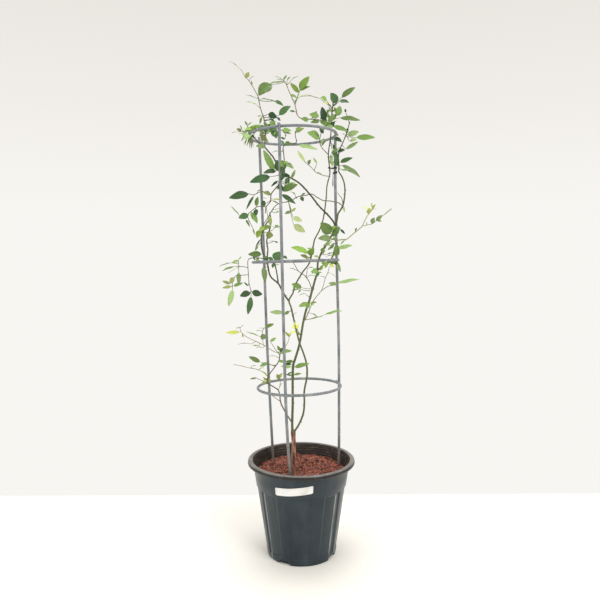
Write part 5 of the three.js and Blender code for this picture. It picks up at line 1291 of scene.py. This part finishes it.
def make_pot(plastic, lip, inside, rim_top):
    collar = body_radius(LIP_BOTTOM) + COLLAR_STEP
    top = POT_HEIGHT
    foot = NOTCH_HEIGHT + 0.6
    outside = [pot_row(z, POT_BASE_RADIUS + out, False, True) for z, out in FOOT_EDGE]
    outside += [pot_row(foot, body_radius(foot), False)]
    outside += [pot_row(z, body_radius(z)) for z in BODY_HEIGHTS]
    outside += [pot_row(z, body_radius(z) + out, False) for z, out in COLLAR_ROWS]
    outside += [pot_row(LIP_BOTTOM, collar + 0.7, False)]
    rolled = [(LIP_BOTTOM + rise, LIP_RADIUS - inset) for rise, inset in LIP_UNDERSIDE]
    rolled += [(top - drop, LIP_RADIUS - inset) for drop, inset in LIP_TOP]
    lip_rows = [pot_row(z, radius, False) for z, radius in rolled]
    wall = body_radius(SOIL_LEVEL - 10) - FLUTE_DEPTH - POT_WALL
    rim = LIP_RADIUS - LIP_WIDTH
    depth = top - SOIL_LEVEL + 10
    inner = [
        pot_row(top - drop, rim - (rim - wall) * drop / depth - ledge, False) for drop, ledge in INSIDE_STEPS
    ]
    inner += [pot_row(SOIL_LEVEL, wall + 1.3, False), pot_row(SOIL_LEVEL - 8, wall, False)]
    shape = Shape()
    rows = outside + lip_rows + inner
    columns = len(rows[0])
    points = [point for row in rows for point in row]
    faces = grid_faces(len(rows), columns, True)
    shape.add(points, faces)
    for i in range(len(rows) - 1):
        kind = 0
        if i >= len(outside) - 1:
            height = rolled[i - len(outside) + 1][0] if i < len(outside) + len(lip_rows) - 1 else 0
            kind = 3 if height > top - 1 else 1 if height else 2
        for k in range(columns):
            shape.materials[i * columns + k] = kind
    ceiling = POT_BASE_RADIUS - NOTCH_DEPTH
    under = [pot_row(0, radius, False, True) for radius in (POT_BASE_RADIUS - 1.0, ceiling + 0.2)]
    under += [pot_row(0, ceiling, False), pot_row(0, 20, False), pot_row(0, 0.05, False)]
    faces = [face[::-1] for face in grid_faces(len(under), columns, True)]
    shape.add([point for row in under for point in row], faces)
    return shape.build("pot_body", [plastic, lip, inside, rim_top], "pot")


# Soil with a broken top, loose crumbs and one pale chip


def soil_height(x, y):
    height = SOIL_LEVEL
    for width, rise, shift in SOIL_RELIEF:
        height += rise * noise.noise(Vector((x, y, 0)) / width + Vector(shift))
    start, end = SOIL_EDGE
    return height - SOIL_SINK * smooth(start, end, math.hypot(x, y))


def add_crumb(shape, draw, place, size):
    """Rounded lump with dents."""
    rings = [(-0.9, 0.42), (-0.35, 0.92), (0.3, 0.95), (0.8, 0.5), (1.0, 0.05)]
    sides = 7
    shift = Vector((draw.uniform(0, 90), draw.uniform(0, 90), 0))
    points = []
    for rise, wide in rings:
        for k in range(sides):
            turn = 2 * math.pi * k / sides + rise
            way = Vector((math.cos(turn) * wide * size[0], math.sin(turn) * wide * size[1], rise * size[2]))
            points.append(place + way * (1 + 0.45 * noise.noise(way / size[0] * 1.3 + shift)))
    shape.add(points, grid_faces(len(rings), sides, True))


def make_soil(soil):
    draw = random.Random(7)
    shape = Shape()
    sides = 120
    outer = body_radius(SOIL_LEVEL - 11) - FLUTE_DEPTH - POT_WALL - SOIL_GAP
    low = body_radius(SOIL_BOTTOM) - FLUTE_DEPTH - POT_WALL - SOIL_GAP
    rows = [(low, SOIL_BOTTOM), (outer, SOIL_LEVEL - 11), (outer + 0.9, SOIL_LEVEL - 4)]
    rows += [(outer * share, None) for share in [1 - k / 34 for k in range(34)]]
    points = []
    for radius, height in rows:
        for k in range(sides):
            turn = 2 * math.pi * k / sides
            x = radius * math.cos(turn)
            y = radius * math.sin(turn)
            points.append(Vector((x, y, soil_height(x, y) if height is None else height)))
    shape.add(points, grid_faces(len(rows), sides, True))
    for _ in range(CRUMB_COUNT):
        radius = outer * 0.97 * math.sqrt(draw.random())
        turn = draw.uniform(0, 2 * math.pi)
        x = radius * math.cos(turn)
        y = radius * math.sin(turn)
        size = CRUMB_SIZES[0] + (CRUMB_SIZES[1] - CRUMB_SIZES[0]) * draw.random() ** 2.5
        lump = (size * draw.uniform(0.8, 1.4), size * draw.uniform(0.8, 1.3), size * draw.uniform(0.6, 1))
        add_crumb(shape, draw, Vector((x, y, soil_height(x, y) + size * 0.15)), lump)
    return shape.build("soil_bed", [soil], "soil", 180)


def make_chip(material):
    draw = random.Random(3)
    shape = Shape()
    x, y = CHIP_PLACE
    place = Vector((x, y, soil_height(x, y) + 0.8))
    add_crumb(shape, draw, place, [reach / 2 for reach in CHIP_SIZE])
    return shape.build("soil_chip", [material], None, 60)


def make_label(paper):
    """Sheet bent round the collar, its corners rounded and one end a little raised."""
    columns = 45
    rows = 9
    low, high = LABEL_RANGE
    middle = (low + high) / 2
    first, last = LABEL_ANGLES
    layers = []
    for layer in (1, 0):
        points = []
        for i in range(rows):
            for k in range(columns):
                across = k / (columns - 1)
                end = min(across, 1 - across) * (last - first) * 1.6
                tuck = 1 - 0.16 * (1 - smooth(0, 2.2, end))
                z = middle + (high - low) * (i / (rows - 1) - 0.5) * tuck
                z += LABEL_RISE * across**LABEL_SAG
                turn = math.radians(-90 + first + (last - first) * across)
                lift = 0.25 * (noise.noise(Vector((across * 9, i / 3, 0))) + 0.4)
                reach = body_radius(z) + COLLAR_STEP + LABEL_GAP + layer * (LABEL_THICKNESS * 0.6 + lift)
                points.append((reach * math.cos(turn), reach * math.sin(turn), z))
        layers.append(points)
    faces = grid_faces(rows, columns, False)
    shape = Shape()
    shape.add(layers[0], faces)
    shape.add(layers[1], [face[::-1] for face in faces])
    border = list(range(columns))
    border += [i * columns + columns - 1 for i in range(1, rows)]
    border += [(rows - 1) * columns + k for k in range(columns - 2, -1, -1)]
    border += [i * columns for i in range(rows - 2, 0, -1)]
    edge = [layers[1][k] for k in border] + [layers[0][k] for k in border]
    shape.add(edge, grid_faces(2, len(border), True))
    return shape.build("label_sheet", [paper], "label", 50)


# Rods, hoops and the beads that join them


def leaning(route):
    return [Vector(point) + (lean(point[2]) if point[2] >= SOIL_LEVEL else Vector()) for point in route]


def make_rod(name, coat):
    shape = Shape()
    route = curve_through(leaning(RODS[name]), 6)
    add_tube(shape, route, [ROD_RADIUS] * len(route), ROD_SIDES)
    return shape.build(name + "_tube", [coat], name)


def hoop_point(name, turn, wire, around):
    height, radius = HOOPS[name]
    out = radius + wire * math.cos(around)
    x = out * math.cos(turn)
    y = out * math.sin(turn)
    centre = Vector((0, 0, height)) + lean(height)
    return centre + Vector((x, y, wire * math.sin(around) - LEAN_X * x - LEAN_Y * y))


def add_bead(shape, place, inward):
    """Small saddle of coating between a rod and a hoop, drawn out along both."""
    side = Vector((-inward.y, inward.x, 0))
    rings = 9
    sides = 14
    points = []
    for i in range(rings):
        tilt = math.pi * i / (rings - 1)
        for k in range(sides):
            turn = 2 * math.pi * k / sides
            wide = math.sin(tilt)
            way = side * math.cos(turn) * BEAD_REACH[0] + inward * math.sin(turn) * BEAD_REACH[1]
            way *= wide
            points.append(place + way + Vector((0, 0, -math.cos(tilt) * BEAD_REACH[2])))
    shape.add(points, grid_faces(rings, sides, True))


def make_hoop(name, coat):
    shape = Shape()
    points = []
    for i in range(HOOP_TURNS):
        for k in range(HOOP_SIDES):
            turn = 2 * math.pi * i / HOOP_TURNS
            points.append(hoop_point(name, turn, HOOP_WIRE, 2 * math.pi * k / HOOP_SIDES))
    shape.add(points, ring_faces(HOOP_TURNS, HOOP_SIDES))
    height = HOOPS[name][0]
    for rod in RODS.values():
        route = curve_through(leaning(rod), 6)
        near = min(route, key=lambda point: abs(point.z - height))
        centre = Vector((0, 0, height)) + lean(height)
        flat = Vector((near.x - centre.x, near.y - centre.y, 0))
        turn = math.atan2(flat.y, flat.x)
        contact = hoop_point(name, turn, 0, 0)
        add_bead(shape, contact + flat.normalized() * 2.2, -flat.normalized())
    return shape.build(name + "_wire", [coat], name)


def make_band(strap, tape):
    """Strap round the right rod and the canes beside it, knotted twice on its front, paler between."""
    shape = Shape()
    turns = 72
    sides = 10
    points = []
    for i in range(turns):
        turn = 2 * math.pi * i / turns
        for k in range(sides):
            around = 2 * math.pi * k / sides
            out = BAND_THICKNESS / 2 * (1 + math.cos(around)) + 0.1 * math.sin(9 * turn + around * 2)
            x = (BAND_REACH[0] + out) * math.cos(turn)
            y = (BAND_REACH[1] + out) * math.sin(turn)
            rise = BAND_HEIGHT / 2 * math.sin(around) + 0.25 * math.sin(3 * turn)
            points.append(Vector(BAND_CENTRE) + Vector((x, y, rise)))
    shape.add(points, ring_faces(turns, sides))
    for i in range(turns):
        if TAPE_TURNS[0] <= 360 * i / turns < TAPE_TURNS[1]:
            shape.materials[i * sides : (i + 1) * sides] = [1] * sides
    draw = random.Random(5)
    for bearing in KNOT_TURNS:
        turn = math.radians(bearing)
        way = Vector((BAND_REACH[0] * math.cos(turn), BAND_REACH[1] * math.sin(turn), 0))
        add_crumb(shape, draw, Vector(BAND_CENTRE) + way * 1.08, KNOT_REACH)
    return shape.build("tie_band_strap", [strap, tape], "tie_band", 60)


def make_collar(strap):
    """Turn of strap pulled tight round the rod, its upper edge rising to the right."""
    shape = Shape()
    sides = 24
    points = []
    for rise, out in COLLAR_PROFILE:
        for k in range(sides):
            turn = 2 * math.pi * k / sides
            reach = COLLAR_REACH + BAND_THICKNESS * out
            height = COLLAR_HEIGHT * rise * 0.7 + COLLAR_HEIGHT * 0.15 * math.cos(turn)
            way = Vector((reach * math.cos(turn), reach * math.sin(turn), height))
            points.append(Vector(COLLAR_CENTRE) + way)
    last = (len(COLLAR_PROFILE) - 1) * sides
    faces = grid_faces(len(COLLAR_PROFILE), sides, True)
    faces += [[last + k, last + (k + 1) % sides, (k + 1) % sides, k] for k in range(sides)]
    shape.add(points, faces)
    return shape.build("tie_collar_turn", [strap], "tie_collar", 60)


def make_tie_end(strap):
    """Loose end of the strap, thin at its top and broader below."""
    wide, deep, tall = TIE_END_SIZE
    sides = 10
    points = []
    for rise, share in TIE_END_PROFILE:
        for k in range(sides):
            turn = 2 * math.pi * k / sides
            x = wide / 2 * share * math.cos(turn) + 0.6 * (0.5 + rise) * (1 - share)
            points.append(Vector(TIE_END_PLACE) + Vector((x, deep / 2 * share * math.sin(turn), tall * rise)))
    last = (len(TIE_END_PROFILE) - 1) * sides
    faces = grid_faces(len(TIE_END_PROFILE), sides, True)
    faces += [list(range(sides))[::-1], [last + k for k in range(sides)]]
    shape = Shape()
    shape.add(points, faces)
    return shape.build("tie_end_strand", [strap], "tie_end", 60)


def make_trunk(bark):
    shape = Shape()
    route = curve_through(TRUNK_ROUTE, 9)
    last = len(route) - 1
    radii = []
    for i in range(last + 1):
        share = i / last
        radius = TRUNK_RADIUS[0] + (TRUNK_RADIUS[1] - TRUNK_RADIUS[0]) * share
        for place, reach, swell in TRUNK_KNOTS:
            radius += swell * math.exp(-(((share - place) / reach) ** 2))
        radii.append(radius)

    def gnarl(i, turn):
        return 1 + 0.09 * noise.noise(Vector((2.2 * math.cos(turn), 2.2 * math.sin(turn), i / 5)))

    add_tube(shape, route, radii, 20, bump=gnarl)
    return shape.build("trunk_stem", [bark], "trunk", 60)


# Leafy shoots


class Blade:
    """Frame of a blade: its size, and its forward, side and up directions."""

    def __init__(self, foot, tip, facing, roll, droop):
        self.foot = foot
        self.size = (tip - foot).length
        self.forward = (tip - foot).normalized()
        self.droop = droop
        facing = Vector(facing)
        side = self.forward.cross(facing)
        if side.length < 0.25:
            side = self.forward.cross(facing + Vector((0.6, -0.6, 0)))
        side.normalize()
        square = side.cross(self.forward)
        self.up = (square * math.cos(roll) - side * math.sin(roll)).normalized()
        self.side = self.forward.cross(self.up)


def outline(share):
    return math.sin(math.pi * share**0.8) ** 0.8 if 0 < share < 1 else 0.0


def add_blade(shape, draw, foot, tip, facing, roll, droop, width, tone):
    """Leaflet with forward teeth, a folded midrib, a bowed tip and a paler underside."""
    blade = Blade(foot, tip, facing, roll, droop)
    size = blade.size
    teeth = TEETH_LEAST + 2 * sum(size >= limit for limit in TEETH_SIZES)
    rows = [(0.0, 1.0)]
    for k in range(teeth):
        rows.append(((k + 0.72) / (teeth + 0.3), 1.07))
        rows.append(((k + 1.0) / (teeth + 0.3), 0.95))
    rows.append((1.0, 1.0))
    wave = draw.uniform(0, 6.28)
    curl = draw.uniform(*LEAF_CURL)
    thick = min(BLADE_THICKNESS, size * 0.05) / 2
    layers = []
    for layer in (1, -1):
        points = []
        for share, tooth in rows:
            half = width / 2 * outline(share)
            for v in BLADE_ACROSS:
                reach = v * half * (1 + (tooth - 1) * v * v)
                ahead = 0.35 / teeth * v * v * (tooth > 1)
                rise = BLADE_FOLD * abs(reach) + droop * size * share * (1 - share)
                rise += 0.018 * size * math.sin(share * 11 + wave) * v * v
                rise -= curl * size * max(share - 0.6, 0) ** 2 * 2.5
                rise += layer * thick * (1 - v * v) * (0.35 if share in (0, 1) else 1)
                along = min(share + ahead, 1)
                ahead_of_foot = blade.forward * (along * size)
                points.append(blade.foot + ahead_of_foot + blade.side * reach + blade.up * rise)
        layers.append(points)
    places = [(share, 0.5 + 0.5 * v) for share, _ in rows for v in BLADE_ACROSS]
    faces = grid_faces(len(rows), len(BLADE_ACROSS), False)
    light = draw.uniform(*LEAF_LIGHT)
    upper = tuple(min(c * light, 255) for c in tone)
    lower = blend(upper, UNDERSIDE, 0.45)
    shape.add(layers[0], [face[::-1] for face in faces], 1, upper, places)
    shape.add(layers[1], faces, 1, lower, places)


def add_stalk(shape, root, foot, radius, tone, sag):
    middle = root.lerp(foot, 0.5) - Vector((0, 0, sag))
    route = curve_through([root, middle, foot], 3)
    radii = [radius * (1.35 - 0.5 * i / (len(route) - 1)) for i in range(len(route))]
    add_tube(shape, route, radii, 6, 0, tone)


def unit(vector):
    return vector.normalized()


def blade_shape():
    return 0.35 * wander(), 0.2 + 0.12 * wander()


def add_leaf(shape, draw, root, leaf, stem_tone):
    """One leaf: its stalk, its end leaflet and its pairs of side leaflets."""
    _, stalk, reach, pairs, ratio, facing, tone = leaf
    stalk = Vector(stalk)
    reach = Vector(reach)
    tip = root + stalk + reach
    stalked = pairs > 0 or stalk.length > LONG_STALK
    foot = (root + stalk).lerp(tip, PAIR_SHARES[pairs]) if stalked else root
    roll, droop = blade_shape()
    width = max(reach.length * (1 - PAIR_SHARES[pairs]) * ratio, LEAST_WIDTH)
    petiole = blend(stem_tone, tone, 0.6)
    blade_foot = foot if stalked else root.lerp(root + stalk, 0.8)
    add_stalk(shape, root, blade_foot, STALK_RADIUS, petiole, 0.04 * (blade_foot - root).length)
    add_blade(shape, draw, blade_foot, tip, facing, roll, droop, width, tone)
    end = Blade(foot, tip, facing, roll, droop)
    side = unit(end.forward.cross(Vector(facing)))
    for i in range(pairs):
        start = root.lerp(foot, 0.9 - 0.35 * i)
        for hand in (1, -1):
            toward = unit(end.forward * (0.65 + 0.15 * wander()) + side * hand)
            far = start + toward * (end.size * (0.62 + 0.12 * wander()))
            roll, droop = blade_shape()
            near = start.lerp(far, 0.08)
            add_stalk(shape, start, near, STALK_RADIUS * 0.7, petiole, 0)
            add_blade(shape, draw, near, far, facing, roll, droop, max(width * 0.6, LEAST_WIDTH), tone)


def add_tuft(shape, draw, root, forward, tuft, stem_tone):
    """Young leaves that spread round a bud, each with two side leaflets."""
    _, count, reach, tone = tuft
    across = unit(forward.cross(Vector((0.3, 0.9, 0.2))))
    over = forward.cross(across)
    for i in range(count):
        turn = 2.4 * i + 0.5 * wander()
        start = root - forward * (TUFT_SPREAD * i)
        out = across * math.cos(turn) + over * math.sin(turn)
        toward = unit(out + forward * (0.5 + 0.3 * wander()) + Vector((0, 0, 0.3)))
        size = reach * (0.8 + 0.25 * wander())
        roll = 0.5 * wander()
        foot = start + toward * (size * 0.35)
        tip = start + toward * size
        add_stalk(shape, start, foot, STALK_RADIUS * 0.7, blend(stem_tone, tone, 0.6), 0)
        add_blade(shape, draw, foot, tip, UP, roll, 0.2, size * 0.36, tone)
        side = unit(toward.cross(Vector(UP)))
        for hand in (1, -1):
            far = foot + unit(toward * 0.7 + side * hand) * (size * 0.45)
            add_blade(shape, draw, foot, far, UP, roll, 0.2, size * 0.24, tone)


def add_prickles(shape, draw, route, radii, tone):
    """Small hooked prickles at uneven steps round a cane."""
    total = lengths_along(route)
    place = PRICKLE_STEP * draw.uniform(0.4, 1.2)
    while place < total[-1] * 0.92:
        i = max(k for k in range(len(total)) if total[k] <= place)
        forward = (route[min(i + 1, len(route) - 1)] - route[i]).normalized()
        across = unit(forward.cross(Vector((0.2, 0.3, 0.9))))
        turn = draw.uniform(0, 2 * math.pi)
        out = across * math.cos(turn) + forward.cross(across) * math.sin(turn)
        base = route[i] + out * radii[i] * 0.8
        length = PRICKLE_LENGTH * draw.uniform(0.6, 1.1) * min(radii[i] / 1.8 + 0.3, 1)
        side = forward.cross(out)
        ring = []
        for k in range(6):
            angle = math.pi * k / 3
            way = forward * math.cos(angle) * 1.5 + side * math.sin(angle) * 0.6
            ring.append(base + way * length * 0.32)
        middle = [base + out * length * 0.5 + (p - base) * 0.4 - forward * length * 0.08 for p in ring]
        tip = base + out * length - forward * length * 0.35
        points = ring + middle + [tip]
        faces = grid_faces(2, 6, True) + [[6 + k, 6 + (k + 1) % 6, 12] for k in range(6)]
        shape.add(points, faces, 0, tone)
        place += PRICKLE_STEP * draw.uniform(0.5, 1.8)


def make_shoot(name, index, stem, leaf_skin):
    global seed
    seed = 1000.0 + 77 * index
    draw = random.Random(50 + index)
    shape = Shape()
    for item in PLANT[name]:
        straight = [Vector(point) for point in item["route"]]
        route = curve_through(item["route"], 5)
        first, last = item["radius"]
        total = lengths_along(route)
        nodes = [leaf[0] * total[-1] for leaf in item["leaves"]]
        radii = []
        for i, place in enumerate(total):
            radius = first + (last - first) * i / (len(total) - 1)
            swell = max([math.exp(-(((place - at) / 2.2) ** 2)) for at in nodes] or [0])
            radii.append(radius * (1 + 0.22 * swell))
        tone = item["tone"]
        add_tube(shape, route, radii, 10 if first > 1.5 else 8, 0, tone)
        if first > 0.8:
            add_prickles(shape, draw, route, radii, blend(tone, PRICKLE_BROWN, 0.5))
        for leaf in item["leaves"]:
            add_leaf(shape, draw, place_along(straight, leaf[0]), leaf, tone)
        for tuft in item["tufts"]:
            root = place_along(straight, tuft[0])
            ahead = place_along(straight, min(tuft[0] + 0.02, 1))
            behind = place_along(straight, max(tuft[0] - 0.02, 0))
            add_tuft(shape, draw, root, unit(ahead - behind), tuft, tone)
    for item in PLANT[name]:
        straight = [Vector(point) for point in item["route"]]
        for leaf in item["fine"]:
            add_leaf(shape, draw, place_along(straight, leaf[0]), leaf, item["tone"])
    return shape.build(name + "_shoot", [stem, leaf_skin], name, 70)


# Floor, lights and camera


def make_floor():
    mesh = bpy.data.meshes.new("floor")
    corners = [
        (-FLOOR_HALF_WIDTH, FLOOR_FRONT), (FLOOR_HALF_WIDTH, FLOOR_FRONT),
        (FLOOR_HALF_WIDTH, FLOOR_BACK), (-FLOOR_HALF_WIDTH, FLOOR_BACK),
    ]
    mesh.from_pydata([(x * MM, y * MM, 0) for x, y in corners], [], [(0, 1, 2, 3)])
    mesh.materials.append(Look("floor_pale", FLOOR_TONE, 0.7).material)
    floor = bpy.data.objects.new("floor", mesh)
    bpy.context.scene.collection.objects.link(floor)


def add_area_light(name, place, target, size, power, tint):
    light = bpy.data.lights.new(name, "AREA")
    light.shape = "DISK"
    light.size = size
    light.energy = power
    light.color = tint
    lamp = bpy.data.objects.new(name, light)
    bpy.context.scene.collection.objects.link(lamp)
    lamp.location = place
    lamp.rotation_euler = (Vector(target) - Vector(place)).to_track_quat("-Z", "Y").to_euler()


def make_world():
    """Pale wall of light, a little darker towards its top."""
    world = bpy.data.worlds.new("studio")
    world.use_nodes = True
    tree = Tree(world.node_tree)
    direction = tree.nodes.new("ShaderNodeTexCoord").outputs["Generated"]
    height = tree.ramp(tree.split(direction)["Z"], *BACKDROP_RISES)
    tone = tree.mix(height, BACKDROP_LOW, BACKDROP_HIGH)
    tree.links.new(tone, tree.nodes["Background"].inputs["Color"])
    bpy.context.scene.world = world


def make_camera():
    lens = bpy.data.cameras.new("camera")
    lens.lens = FOCAL_LENGTH
    lens.sensor_width = SENSOR_WIDTH
    lens.clip_start = 0.05
    camera = bpy.data.objects.new("camera", lens)
    bpy.context.scene.collection.objects.link(camera)
    tilt = Matrix.Rotation(math.radians(90 - CAMERA_PITCH), 4, "X")
    roll = Matrix.Rotation(math.radians(-CAMERA_ROLL), 4, "Z")
    camera.matrix_world = Matrix.Translation([c * MM for c in CAMERA_PLACE]) @ tilt @ roll
    bpy.context.scene.camera = camera


make_camera()
make_world()
make_floor()
for name, light in LIGHTS.items():
    add_area_light(name, *light)
bpy.context.scene.view_settings.view_transform = "Standard"

plastic = pot_material("pot_plastic", POT_NAVY, POT_DUST, 0.14, True)
# Painted shade on the lip's outer face and underside
lip = pot_material("pot_lip", LIP_SHADE, LIP_DUST, 0.26)
# The rim's top, grey from dust and from painted light from above
rim_top = pot_material("pot_rim_top", RIM_DUSTY_LIT_GREY, RIM_DUST, 0.6)
make_pot(plastic, lip, inside_material(), rim_top)
make_soil(soil_material())
make_chip(worn_material("chip_pale", CHIP_PINK, CHIP_PALE, 0.8))
make_label(label_material())

coat = frame_material()
for rod in RODS:
    make_rod(rod, coat)
for hoop in HOOPS:
    make_hoop(hoop, coat)
strap = worn_material("strap_dark", STRAP, STRAP_WORN, 0.6)
make_band(strap, worn_material("tape_pale", TAPE, TAPE_WORN, 0.6))
make_collar(strap)
make_tie_end(strap)

make_trunk(bark_material())
stem_skin = stem_material()
leaf_skin = leaf_material()
for order, shoot in enumerate(PLANT):
    make_shoot(shoot, order, stem_skin, leaf_skin)
